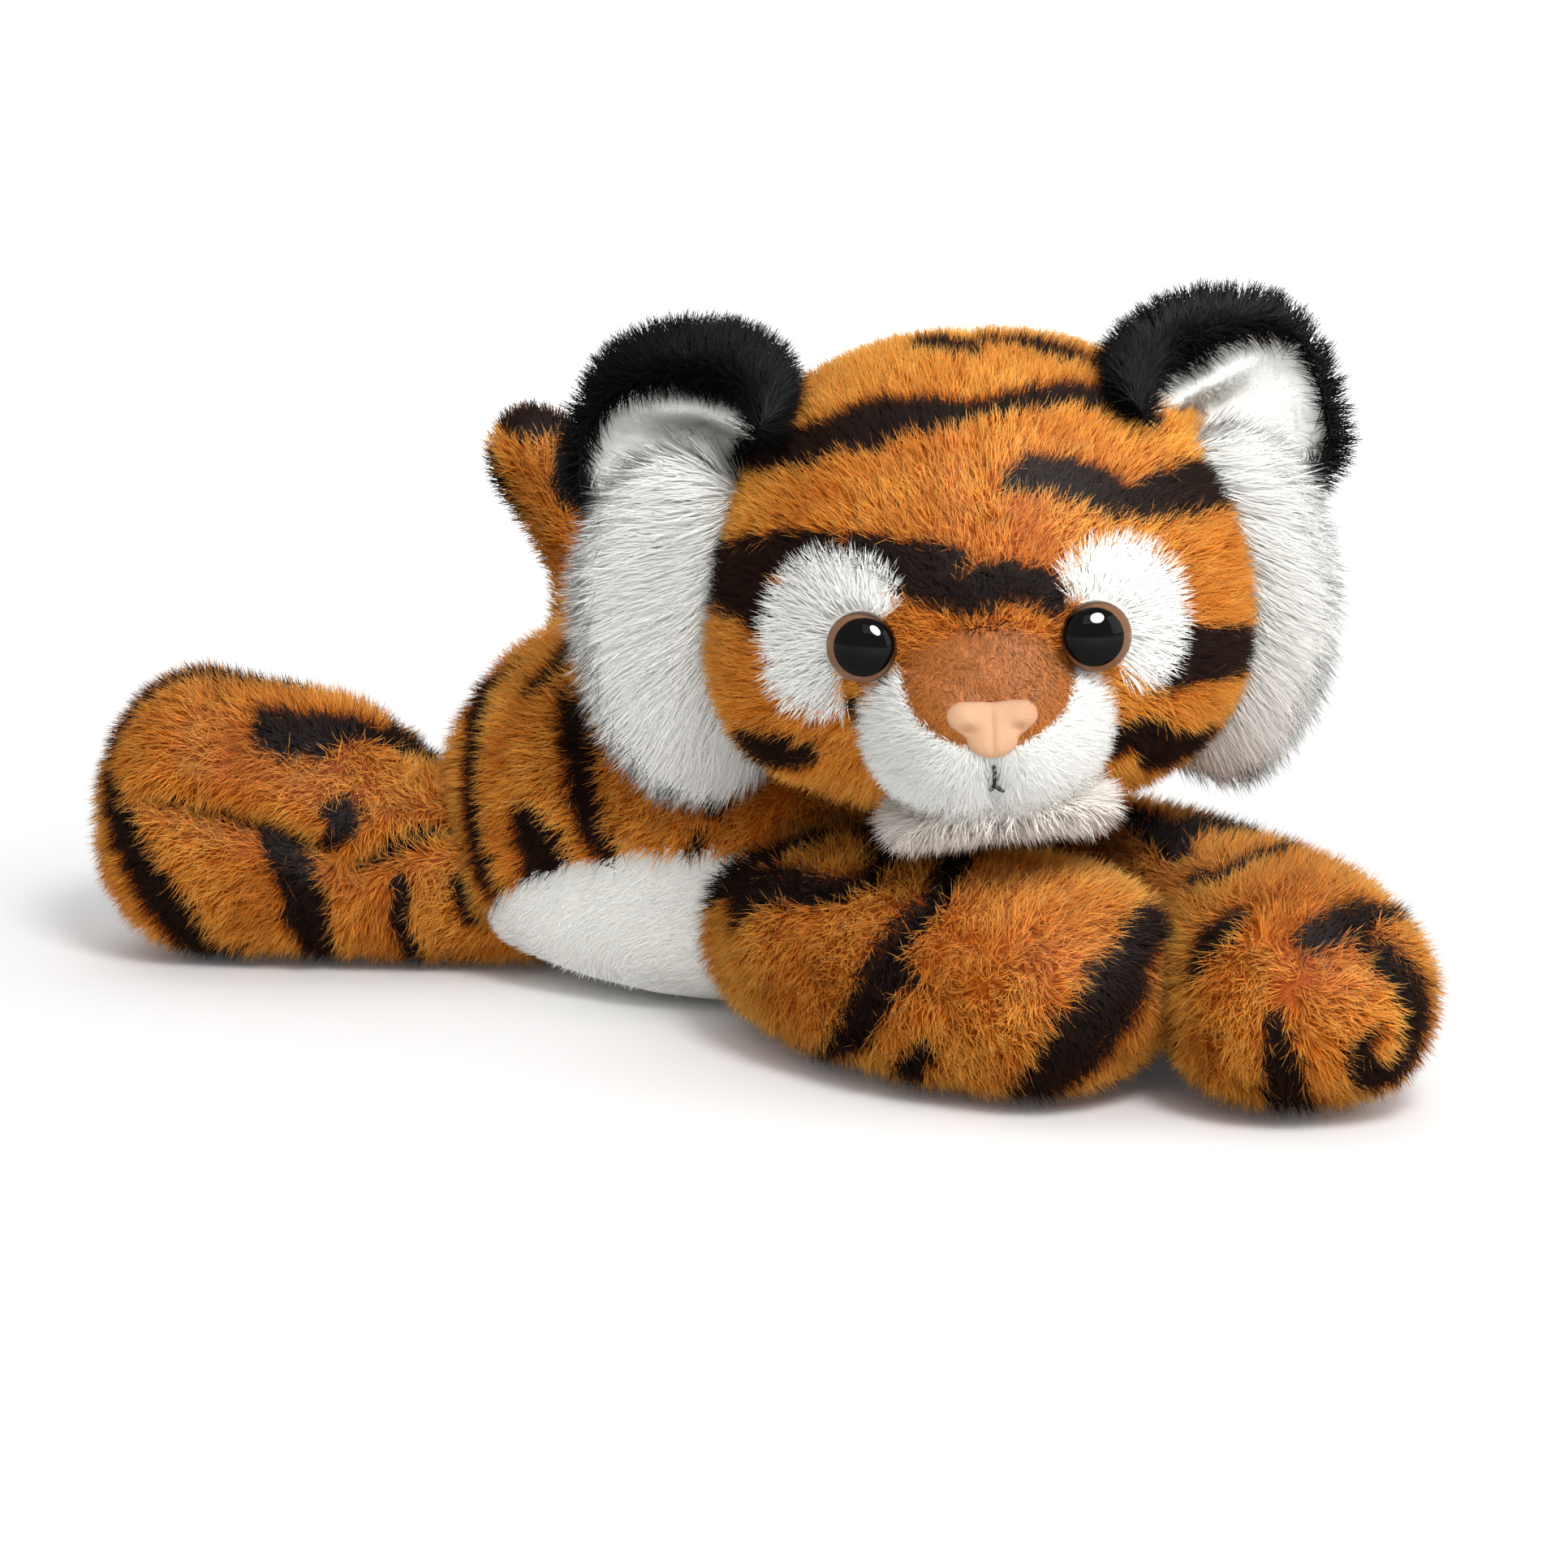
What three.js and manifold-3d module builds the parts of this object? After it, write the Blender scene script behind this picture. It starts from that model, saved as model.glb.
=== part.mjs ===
// A plush tiger that lies on its belly: sewn pile covers, stuffing, pellet bags and safety eyes.
// Millimetres, +Z up. The tiger looks along -Y, its right side is -X, and it lies on z = 0.
import * as THREE from "three";
import { mergeVertices } from "three/addons/utils/BufferGeometryUtils.js";
import Module from "manifold-3d";

const wasm = await Module();
wasm.setup();

// Cloth thickness, pile included, and the clearances between pieces.
const BODY_SKIN = 5;
const HEAD_SKIN = 5;
const LIMB_SKIN = 4;
const TAIL_SKIN = 3.5;
const SEAM_GAP = 0.3;
const SOCKET_GAP = 0.75;
const FLAT_CUT = 0.5; // how far the soft underside is pressed flat on the floor
const SETTLE = 0.8; // below 1, the lower half of an oval is squared, as stuffing settles
const BELLY_SETTLE = 0.55; // the belly's pellets settle further than a limb's

// Swing of each joint from the rest pose, in degrees.
const NECK_SWING = { min: -10, max: 40 };
const ARM_SWING = { min: 0, max: 40 };
const LEG_SWING = { min: -15, max: 25 };
const TAIL_SWING = { min: -30, max: 30 };
const EAR_SWING = { min: -12, max: 12 };
const SWEEP_STEP = 10; // degrees between the places at which a swing is cleared

// Torso, from the chest at the front to the rump.
const TORSO = {
  stations: [
    { x: 0, y: -42, width: 86, height: 67 },
    { x: 0, y: -12, width: 110, height: 78 },
    { x: 0, y: 16, width: 122, height: 79 },
    { x: 0, y: 38, width: 107, height: 77 },
  ],
  rootLength: 20,
  tipLength: 25,
  settle: BELLY_SETTLE,
  rings: 6,
  sides: 18,
};
const PELLET_LEVEL = 24; // top of the belly's pellet bag
const BELLY_PANEL = { y: -42, halfLength: 82, height: 41, reach: 130 };

// Limbs: each station is a point of its middle line on the floor plan.
const ARM_RIGHT = {
  stations: [
    { x: -25, y: -51, width: 50, height: 46 },
    { x: -32, y: -74, width: 54, height: 47.5 },
    { x: -31, y: -98, width: 58, height: 48.5 },
    { x: -24, y: -118, width: 60, height: 48.5 },
  ],
  tipLength: 29,
  rings: 6,
  sides: 12,
};
const ARM_LEFT = {
  stations: [
    { x: 29, y: -51, width: 50, height: 46 },
    { x: 33, y: -86, width: 49, height: 46.5 },
    { x: 24, y: -128, width: 51, height: 47.5 },
    { x: 6, y: -160, width: 55, height: 48.5 },
  ],
  tipLength: 28,
  rings: 6,
  sides: 12,
};
const LEG_RIGHT = {
  stations: [
    { x: -35, y: 38, width: 46, height: 40 },
    { x: -52, y: 52, width: 44, height: 43 },
    { x: -69, y: 69, width: 50, height: 57 },
    { x: -84, y: 87, width: 55, height: 64.5 },
  ],
  tipLength: 25,
  rings: 6,
  sides: 12,
};
const LEG_LEFT = {
  ...LEG_RIGHT,
  stations: LEG_RIGHT.stations.map((station) => ({ ...station, x: -station.x })),
};
const PELLET_SHARE = 0.55; // where along a limb its pellet bag begins
const ROOT_OPENING = 0.55; // the skin's root is open this share of its cap out from the joint

// Tail, standing up from the rump.
const TAIL = {
  points: [
    [5, 55, 38],
    [10, 66, 58],
    [12, 71, 80],
    [2, 79, 102],
  ],
  radius: 12,
  tipLength: 13,
  rings: 6,
  sides: 10,
};

// Head: round in plan, on the vertical line that it turns about.
const HEAD = { x: -9, y: -82, z: 93, radius: 57.5, up: 55.5, down: 44, fullness: 0.88 };
const HEAD_TURN = -42; // the head is turned to the tiger's right
const HEAD_TILT = -3; // and leans a little over one cheek
const NECK_OPENING = { radius: 22, lean: 42 }; // a round way down and back into the torso

// Face pieces, from the head's middle: x to the tiger's left, y backwards, z up.
const RUFF = { x: 54, y: 7, z: -8, halfWidth: 24, halfDepth: 9, halfHeight: 32 };
const EAR = { x: 53, y: -4, z: 36.5, radius: 25, depth: 13, back: 3.6, lining: 2.6, splay: 10 };
const EAR_BASE = { x: 43, y: -2, z: 30, along: { x: 22, y: 0, z: -30 } };
const SIDE_SHIFT = -5; // ears and ruffs sit a little to the tiger's right
const PATCH = { z: 3.6, halfWidth: 14.5, halfHeight: 15.5, toeOut: 29 };
const EYE = { x: 22.5, z: 1.6, toeOut: 17, proud: 0.8 };
const IRIS = { radius: 7, rim: 1.2, shank: 1.7, shankLength: 10 };
const DOME = { height: 3.8, wall: 1 };
const PUPIL = { radius: 4.8, thickness: 0.7 };
const WASHER = { radius: 5.5, thickness: 1.4, play: 1.2 }; // play is its distance behind the cloth
const MUZZLE = { y: -43, z: -22, halfWidth: 24, halfDepth: 24, halfHeight: 18 };
const BRIDGE = { y: -48, z: -7, halfWidth: 16.5, halfDepth: 17, halfHeight: 13 };
const CHIN = { y: -40, z: -36, halfWidth: 23, halfDepth: 17, halfHeight: 7.5 };
const NOSE = { z: -13.5, width: 17.5, height: 11, thickness: 4, bevel: 1.6, lean: 12, sink: 3.4 };
const STITCH = { z: -22.5, radius: 0.5, stem: 3.2, forkAcross: 1.8, forkDown: 1.6 };

// Colours of the cloths and plastics.
const ORANGE = "#d98a30";
const WHITE = "#f4f2ee";
const BLACK = "#17130f";
const BROWN = "#a5683a";
const PINK = "#f3b497";
const WADDING = "#e9e6df";
const PELLETS = "#cfd3d6";

const UP = new THREE.Vector3(0, 0, 1);
const FAR = 400; // larger than the toy, for cutting planes

// Closed mesh to solid, with its faces turned outwards, and back.
function solid(geometry) {
  const bare = geometry.clone();
  for (const name of Object.keys(bare.attributes)) {
    if (name !== "position") bare.deleteAttribute(name);
  }
  const merged = mergeVertices(bare, 1e-4);
  const vertProperties = merged.attributes.position.array;
  const triVerts = new Uint32Array(merged.index.array);
  const body = new wasm.Manifold(new wasm.Mesh({ numProp: 3, vertProperties, triVerts }));
  if (body.volume() > 0) return body;
  return new wasm.Manifold(new wasm.Mesh({ numProp: 3, vertProperties, triVerts: triVerts.reverse() }));
}

function geometryOf(body) {
  const mesh = body.getMesh();
  const geometry = new THREE.BufferGeometry();
  geometry.setAttribute("position", new THREE.BufferAttribute(new Float32Array(mesh.vertProperties), 3));
  geometry.setIndex(new THREE.BufferAttribute(new Uint32Array(mesh.triVerts), 1));
  geometry.computeVertexNormals();
  return geometry;
}

const joined = (bodies) => bodies.reduce((sum, body) => sum.add(body));
const moved = (geometry, matrix) => geometry.clone().applyMatrix4(matrix);

// A turn about an axis through a point.
function turnAbout(point, axis, degrees) {
  const there = new THREE.Matrix4().makeTranslation(point);
  const turn = new THREE.Matrix4().makeRotationAxis(axis, THREE.MathUtils.degToRad(degrees));
  const back = new THREE.Matrix4().makeTranslation(point.clone().negate());
  return there.multiply(turn).multiply(back);
}

// Everything that a shape reaches while it swings about a joint.
function swept(geometry, point, axis, swing) {
  const steps = Math.max(1, Math.ceil((swing.max - swing.min) / SWEEP_STEP));
  const bodies = [];
  for (let i = 0; i <= steps; i++) {
    const degrees = swing.min + ((swing.max - swing.min) * i) / steps;
    bodies.push(solid(moved(geometry, turnAbout(point, axis, degrees))));
  }
  return joined(bodies);
}

// A closed skin over a row of rings of equal count, with a point at each end.
function loft(firstPoint, rings, lastPoint) {
  const sides = rings[0].length;
  const vertices = [firstPoint, ...rings.flat(), lastPoint];
  const last = vertices.length - 1;
  const faces = [];
  const at = (ring, side) => 1 + ring * sides + (side % sides);
  for (let side = 0; side < sides; side++) {
    faces.push(0, at(0, side + 1), at(0, side));
    faces.push(last, at(rings.length - 1, side), at(rings.length - 1, side + 1));
    for (let ring = 0; ring + 1 < rings.length; ring++) {
      faces.push(at(ring, side), at(ring, side + 1), at(ring + 1, side));
      faces.push(at(ring, side + 1), at(ring + 1, side + 1), at(ring + 1, side));
    }
  }
  const geometry = new THREE.BufferGeometry().setFromPoints(vertices);
  geometry.setIndex(faces);
  return geometry;
}

// An oval ring across a form, squared below its middle.
function ovalRing(centre, across, up, halfWidth, halfHeight, settle, sides) {
  const ring = [];
  for (let i = 0; i < sides; i++) {
    const cosine = Math.cos((2 * Math.PI * i) / sides);
    const sine = Math.sin((2 * Math.PI * i) / sides);
    const power = sine < 0 ? settle : 1;
    const u = halfWidth * Math.sign(cosine) * Math.abs(cosine) ** power;
    const v = halfHeight * Math.sign(sine) * Math.abs(sine) ** power;
    ring.push(centre.clone().addScaledVector(across, u).addScaledVector(up, v));
  }
  return ring;
}

const CAP_ANGLES = [0.28, 0.56, 0.8].map((share) => (share * Math.PI) / 2);

const along = (values) => new THREE.CatmullRomCurve3(values, false, "catmullrom");
const planPath = (form) => along(form.stations.map(({ x, y }) => new THREE.Vector3(x, y, 0)));

// A stuffed form that lies on the floor: upright ovals along a plan path, rounded at both ends.
function lyingForm(form, inset) {
  const path = planPath(form);
  const size = along(form.stations.map(({ width, height }) => new THREE.Vector3(width, height, 0)));
  const rootLength = (form.rootLength ?? form.stations[0].width / 2) - inset;
  const place = (t, ahead) => {
    const spot = path.getPoint(t).addScaledVector(path.getTangent(t), ahead);
    return spot.setZ(size.getPoint(t).y / 2 - FLAT_CUT);
  };
  const ring = (t, ahead, shrink) => {
    const across = UP.clone().cross(path.getTangent(t)).negate().normalize();
    const { x: width, y: height } = size.getPoint(t);
    const halfWidth = (width / 2 - inset) * shrink;
    const halfHeight = (height / 2 - inset) * shrink;
    return ovalRing(place(t, ahead), across, UP, halfWidth, halfHeight, form.settle ?? SETTLE, form.sides);
  };
  const tipLength = form.tipLength - inset;
  const rings = CAP_ANGLES.map((angle) => ring(0, -rootLength * Math.cos(angle), Math.sin(angle)));
  for (let i = 0; i <= form.rings; i++) rings.push(ring(i / form.rings, 0, 1));
  for (const angle of CAP_ANGLES.toReversed()) {
    rings.push(ring(1, tipLength * Math.cos(angle), Math.sin(angle)));
  }
  return loft(place(0, -rootLength), rings, place(1, tipLength));
}

// The round hollow in which a limb's root turns: the root's own oval spun about the upright axis.
function rootSocket(form, gap) {
  const { x, y, width, height } = form.stations[0];
  const profile = [];
  for (let i = 0; i <= 12; i++) {
    const angle = -Math.PI / 2 + (Math.PI * i) / 12;
    const power = angle < 0 ? SETTLE : 1;
    const level = Math.sign(Math.sin(angle)) * Math.abs(Math.sin(angle)) ** power;
    const reach = Math.max(0, Math.cos(angle)) ** power;
    profile.push(new THREE.Vector2((width / 2 + gap) * reach, (height / 2 + gap) * level));
  }
  return new THREE.LatheGeometry(profile, 28)
    .rotateX(Math.PI / 2)
    .translate(x, y, height / 2 - FLAT_CUT);
}

// A block that starts at a plane and fills everything ahead of it.
function beyond(point, direction) {
  const turn = new THREE.Quaternion().setFromUnitVectors(UP, direction.clone().normalize());
  return new THREE.BoxGeometry(FAR, FAR, FAR)
    .translate(0, 0, FAR / 2)
    .applyQuaternion(turn)
    .translate(point.x, point.y, point.z);
}

const belowFloor = solid(beyond(new THREE.Vector3(0, 0, 0), UP.clone().negate()));
const pivotOf = (form) => new THREE.Vector3(form.stations[0].x, form.stations[0].y, 0);

// The head's round form, grown or shrunk evenly.
function headForm(grow) {
  const profile = [];
  const steps = 12;
  for (let i = 0; i <= steps; i++) {
    const angle = -Math.PI / 2 + (Math.PI * i) / steps;
    const sine = Math.sin(angle);
    const height = (sine < 0 ? HEAD.down : HEAD.up) + grow;
    const reach = Math.max(0, Math.cos(angle)) ** HEAD.fullness;
    const level = Math.sign(sine) * Math.abs(sine) ** HEAD.fullness;
    profile.push(new THREE.Vector2((HEAD.radius + grow) * reach, height * level));
  }
  return new THREE.LatheGeometry(profile, 26).rotateX(Math.PI / 2).translate(HEAD.x, HEAD.y, HEAD.z);
}

// The frame that the face pieces sit in: at the head's middle, turned and tilted with it.
const faceFrame = new THREE.Matrix4()
  .makeTranslation(HEAD.x, HEAD.y, HEAD.z)
  .multiply(new THREE.Matrix4().makeRotationZ(THREE.MathUtils.degToRad(HEAD_TURN)))
  .multiply(new THREE.Matrix4().makeRotationY(THREE.MathUtils.degToRad(HEAD_TILT)));
const onFace = (geometry) => moved(geometry, faceFrame);

// An egg-shaped pad in the face's frame, grown evenly.
function pad(size, x, grow) {
  return new THREE.SphereGeometry(1, 14, 8)
    .rotateX(Math.PI / 2)
    .scale(size.halfWidth + grow, size.halfDepth + grow, size.halfHeight + grow)
    .translate(x, size.y, size.z);
}

const toy = new THREE.Group();

function add(name, body, colour, roughness = 0.95) {
  const material = new THREE.MeshStandardMaterial({ color: colour, roughness, metalness: 0 });
  const mesh = new THREE.Mesh(geometryOf(body), material);
  mesh.name = name;
  toy.add(mesh);
}

// The tail: round rings across a curve that rises from the rump.
function tailForm(grow) {
  const path = along(TAIL.points.map((point) => new THREE.Vector3(...point)));
  const radius = TAIL.radius + grow;
  const across = new THREE.Vector3(1, 0, 0);
  const ring = (t, ahead, shrink) => {
    const tangent = path.getTangent(t);
    const centre = path.getPoint(t).addScaledVector(tangent, ahead);
    const side = across.clone().addScaledVector(tangent, -across.dot(tangent)).normalize();
    const up = side.clone().cross(tangent);
    return ovalRing(centre, side, up, radius * shrink, radius * shrink, 1, TAIL.sides);
  };
  const tipLength = TAIL.tipLength + grow;
  const rings = CAP_ANGLES.map((angle) => ring(0, -radius * Math.cos(angle), Math.sin(angle)));
  for (let i = 0; i <= TAIL.rings; i++) rings.push(ring(i / TAIL.rings, 0, 1));
  for (const angle of CAP_ANGLES.toReversed()) {
    rings.push(ring(1, tipLength * Math.cos(angle), Math.sin(angle)));
  }
  const start = path.getPoint(0).addScaledVector(path.getTangent(0), -radius);
  const end = path.getPoint(1).addScaledVector(path.getTangent(1), tipLength);
  return loft(start, rings, end);
}

// The ball hollow in the rump in which the tail's root turns.
function tailSocket() {
  const [x, y, z] = TAIL.points[0];
  return new THREE.SphereGeometry(TAIL.radius + SOCKET_GAP, 24, 16).translate(x, y, z);
}

// The limbs, with the direction about +Z in which each opens outwards, and what it lies against.
const LIMBS = [
  { name: "arm_right", form: ARM_RIGHT, outward: -1, swing: ARM_SWING },
  { name: "arm_left", form: ARM_LEFT, outward: 1, swing: ARM_SWING, beside: ARM_RIGHT },
  { name: "leg_right", form: LEG_RIGHT, outward: 1, swing: LEG_SWING },
  { name: "leg_left", form: LEG_LEFT, outward: -1, swing: LEG_SWING },
];

// What the torso gives way to: the head, each limb over its swing, and the tail.
function torsoHollows() {
  const hollows = [solid(headForm(SOCKET_GAP))];
  for (const { form, outward, swing } of LIMBS) {
    const axis = UP.clone().multiplyScalar(outward);
    hollows.push(solid(rootSocket(form, SOCKET_GAP)));
    hollows.push(swept(lyingForm(form, -SEAM_GAP), pivotOf(form), axis, swing));
  }
  const tailPivot = new THREE.Vector3(...TAIL.points[0]);
  hollows.push(solid(tailSocket()));
  hollows.push(swept(tailForm(SEAM_GAP), tailPivot, new THREE.Vector3(0, 1, 0), TAIL_SWING));
  return joined(hollows);
}

function addTorso() {
  const hollows = torsoHollows();
  const shell = solid(lyingForm(TORSO, 0))
    .subtract(belowFloor)
    .subtract(solid(lyingForm(TORSO, BODY_SKIN)))
    .subtract(hollows);
  const bellyRegion = (grow) => {
    const { y, halfLength, height, reach } = BELLY_PANEL;
    return new THREE.SphereGeometry(1, 32, 20)
      .rotateX(Math.PI / 2)
      .scale(reach + grow, halfLength + grow, height + grow)
      .translate(0, y, 0);
  };
  const filling = solid(lyingForm(TORSO, BODY_SKIN + SEAM_GAP)).subtract(hollows);
  const level = new THREE.Vector3(0, 0, PELLET_LEVEL);
  const bagTop = level.clone().setZ(PELLET_LEVEL - SEAM_GAP);
  add("back_skin", shell.subtract(solid(bellyRegion(SEAM_GAP))), ORANGE);
  add("belly_panel", shell.intersect(solid(bellyRegion(0))), WHITE);
  add("torso_stuffing", filling.intersect(solid(beyond(level, UP))), WADDING);
  add("belly_pellet_bag", filling.subtract(solid(beyond(bagTop, UP))), PELLETS);
}

// A limb: its skin is open at the root, and its filling is wadding above and a pellet bag at the end.
function addLimb({ name, form, beside }) {
  const path = planPath(form);
  const rootRadius = form.stations[0].width / 2;
  const rootEnd = path.getPoint(0).addScaledVector(path.getTangent(0), -ROOT_OPENING * rootRadius);
  const opening = solid(beyond(rootEnd, path.getTangent(0).negate()));
  const outer = solid(lyingForm(form, 0)).subtract(belowFloor);
  const filling = solid(lyingForm(form, LIMB_SKIN + SEAM_GAP));
  const bagStart = path.getPoint(PELLET_SHARE);
  const direction = path.getTangent(PELLET_SHARE);
  const waddingEnd = bagStart.clone().addScaledVector(direction, -SEAM_GAP);
  const clear = (body) => (beside ? body.subtract(solid(lyingForm(beside, -SEAM_GAP))) : body);
  const skin = outer.subtract(solid(lyingForm(form, LIMB_SKIN))).subtract(opening);
  add(name + "_skin", clear(skin), ORANGE);
  add(name + "_stuffing", clear(filling.subtract(solid(beyond(waddingEnd, direction)))), WADDING);
  add(name + "_pellet_bag", clear(filling.intersect(solid(beyond(bagStart, direction)))), PELLETS);
}

function addTail() {
  const outer = solid(tailForm(0));
  const points = TAIL.points.map((point) => new THREE.Vector3(...point));
  const direction = along(points).getTangent(0).negate();
  const rootEnd = points[0].clone().addScaledVector(direction, ROOT_OPENING * TAIL.radius);
  const opening = solid(beyond(rootEnd, direction));
  add("tail_skin", outer.subtract(solid(tailForm(-TAIL_SKIN))).subtract(opening), ORANGE);
  add("tail_stuffing", solid(tailForm(-TAIL_SKIN - SEAM_GAP)), WADDING);
}

// The frame of an eye: on the head's surface, looking along its own axis.
function eyeFrame(side) {
  const toeOut = THREE.MathUtils.degToRad(EYE.toeOut) * side;
  const surface = -Math.sqrt(HEAD.radius ** 2 - EYE.x ** 2) - EYE.proud;
  return faceFrame
    .clone()
    .multiply(new THREE.Matrix4().makeTranslation(side * EYE.x, surface, EYE.z))
    .multiply(new THREE.Matrix4().makeRotationZ(toeOut));
}

// Round eye parts are turned about the eye's axis: r outwards, h towards the viewer.
function eyePart(profile, side) {
  const points = profile.map(([r, h]) => new THREE.Vector2(r, h));
  const part = new THREE.LatheGeometry(points, 16).rotateZ(Math.PI);
  return moved(part, eyeFrame(side));
}

function eyeProfiles() {
  const { radius, rim, shank, shankLength } = IRIS;
  const seat = rim + SEAM_GAP;
  const washerTop = -HEAD_SKIN - WASHER.play;
  const washerBottom = washerTop - WASHER.thickness;
  const bore = shank + SEAM_GAP;
  const arc = (reach, height) =>
    [0, 1, 2, 3, 4].map((i) => {
      const angle = (Math.PI / 2) * (i / 4);
      return [reach * Math.cos(angle), seat + height * Math.sin(angle)];
    });
  const domeOuter = arc(radius, DOME.height);
  const domeInner = arc(radius - DOME.wall, DOME.height - DOME.wall).toReversed();
  return {
    iris: [
      [0, -shankLength],
      [shank, -shankLength],
      [shank, 0],
      [radius, 0],
      [radius, rim],
      [0, rim],
    ],
    pupil: [
      [0, seat],
      [PUPIL.radius, seat],
      [PUPIL.radius, seat + PUPIL.thickness],
      [0, seat + PUPIL.thickness],
    ],
    dome: [...domeOuter, ...domeInner, domeOuter[0]],
    washer: [
      [bore, washerBottom],
      [WASHER.radius, washerBottom],
      [WASHER.radius, washerTop],
      [bore, washerTop],
      [bore, washerBottom],
    ],
  };
}

function addEye(side, name) {
  const profiles = eyeProfiles();
  add("eye_iris_" + name, solid(eyePart(profiles.iris, side)), BROWN, 0.25);
  add("eye_pupil_" + name, solid(eyePart(profiles.pupil, side)), BLACK, 0.1);
  add("eye_dome_" + name, solid(eyePart(profiles.dome, side)), WHITE, 0.05);
  add("eye_washer_" + name, solid(eyePart(profiles.washer, side)), WHITE, 0.5);
}

// The room that both eyes need in cloth and stuffing: a well behind, a bore, and all that lies ahead.
function eyeRoom() {
  const wellRadius = WASHER.radius + SEAM_GAP;
  const wellTop = -HEAD_SKIN - WASHER.play + SEAM_GAP;
  const wellBottom = -IRIS.shankLength - SEAM_GAP;
  const bore = IRIS.shank + SEAM_GAP;
  const seatRadius = IRIS.radius + SEAM_GAP;
  const ahead = IRIS.rim + 2 * DOME.height;
  const room = [
    [0, wellBottom],
    [wellRadius, wellBottom],
    [wellRadius, wellTop],
    [bore, wellTop],
    [bore, -SEAM_GAP],
    [seatRadius, -SEAM_GAP],
    [seatRadius, ahead],
    [0, ahead],
  ];
  return joined([-1, 1].map((side) => solid(eyePart(room, side))));
}

// An oval prism that marks a patch's outline on the head, straight out from the head's middle.
function patchPrism(side, grow) {
  const outline = new THREE.Shape();
  outline.absellipse(0, 0, PATCH.halfWidth + grow, PATCH.halfHeight + grow, 0, 2 * Math.PI);
  const settings = { depth: HEAD.radius, curveSegments: 8, bevelEnabled: false };
  const prism = new THREE.ExtrudeGeometry(outline, settings)
    .rotateX(Math.PI / 2)
    .translate(0, -HEAD.radius / 2, PATCH.z);
  return onFace(prism.rotateZ(THREE.MathUtils.degToRad(PATCH.toeOut) * side));
}

// A dished ear shape, open to the front: from its outer to its inner surface.
function earDish(outer, inner, rimOuter, rimInner) {
  const profile = [];
  const steps = 4;
  for (let i = 0; i <= steps; i++) {
    const angle = (Math.PI / 2) * (i / steps);
    profile.push(new THREE.Vector2(rimOuter * Math.sin(angle), outer * Math.cos(angle)));
  }
  for (let i = steps; i >= 0; i--) {
    const angle = (Math.PI / 2) * (i / steps);
    profile.push(new THREE.Vector2(rimInner * Math.sin(angle), inner * Math.cos(angle)));
  }
  return new THREE.LatheGeometry(profile, 16);
}

function earPlaced(dish, side) {
  const splay = THREE.MathUtils.degToRad(EAR.splay) * side;
  return onFace(dish.clone().rotateZ(splay).translate(side * EAR.x + SIDE_SHIFT, EAR.y, EAR.z));
}

function earJoint(side) {
  const { x, y, z, along } = EAR_BASE;
  const point = new THREE.Vector3(side * x + SIDE_SHIFT, y, z).applyMatrix4(faceFrame);
  const axis = new THREE.Vector3(side * along.x, along.y, along.z).transformDirection(faceFrame);
  return { point, axis };
}

// Adds an ear and returns all that it reaches while it folds.
function addEar(side, name) {
  const { radius, depth, back, lining } = EAR;
  const { point, axis } = earJoint(side);
  const backDish = earPlaced(earDish(depth, depth - back, radius, radius - back), side);
  const inner = back + SEAM_GAP;
  const liningDish = earPlaced(
    earDish(depth - inner, depth - inner - lining, radius - inner, radius - inner - lining),
    side,
  );
  const head = swept(headForm(SEAM_GAP), point, axis, EAR_SWING);
  const whole = earPlaced(earDish(depth + SEAM_GAP, 0, radius + SEAM_GAP, 0), side);
  add("ear_back_" + name, solid(backDish).subtract(head), BLACK);
  add("ear_lining_" + name, solid(liningDish).subtract(head), WHITE);
  return swept(whole, point, axis, EAR_SWING);
}

// A small heart-topped pad for the nose, on the front of the muzzle.
function noseForm() {
  const half = NOSE.width / 2 - NOSE.bevel;
  const tall = NOSE.height / 2 - NOSE.bevel;
  const outline = new THREE.Shape();
  outline.moveTo(0, tall * 0.7);
  outline.quadraticCurveTo(half * 0.5, tall * 1.2, half * 0.9, tall * 0.8);
  outline.quadraticCurveTo(half * 1.2, tall * 0.2, half * 0.7, -tall * 0.1);
  outline.quadraticCurveTo(half * 0.4, -tall, 0, -tall);
  outline.quadraticCurveTo(-half * 0.4, -tall, -half * 0.7, -tall * 0.1);
  outline.quadraticCurveTo(-half * 1.2, tall * 0.2, -half * 0.9, tall * 0.8);
  outline.quadraticCurveTo(-half * 0.5, tall * 1.2, 0, tall * 0.7);
  const settings = {
    depth: NOSE.thickness,
    curveSegments: 3,
    bevelThickness: NOSE.bevel,
    bevelSize: NOSE.bevel,
    bevelSegments: 2,
  };
  const front = MUZZLE.y - MUZZLE.halfDepth + NOSE.sink;
  return onFace(
    new THREE.ExtrudeGeometry(outline, settings)
      .rotateX(Math.PI / 2)
      .rotateX(THREE.MathUtils.degToRad(-NOSE.lean))
      .translate(0, front, NOSE.z),
  );
}

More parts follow.
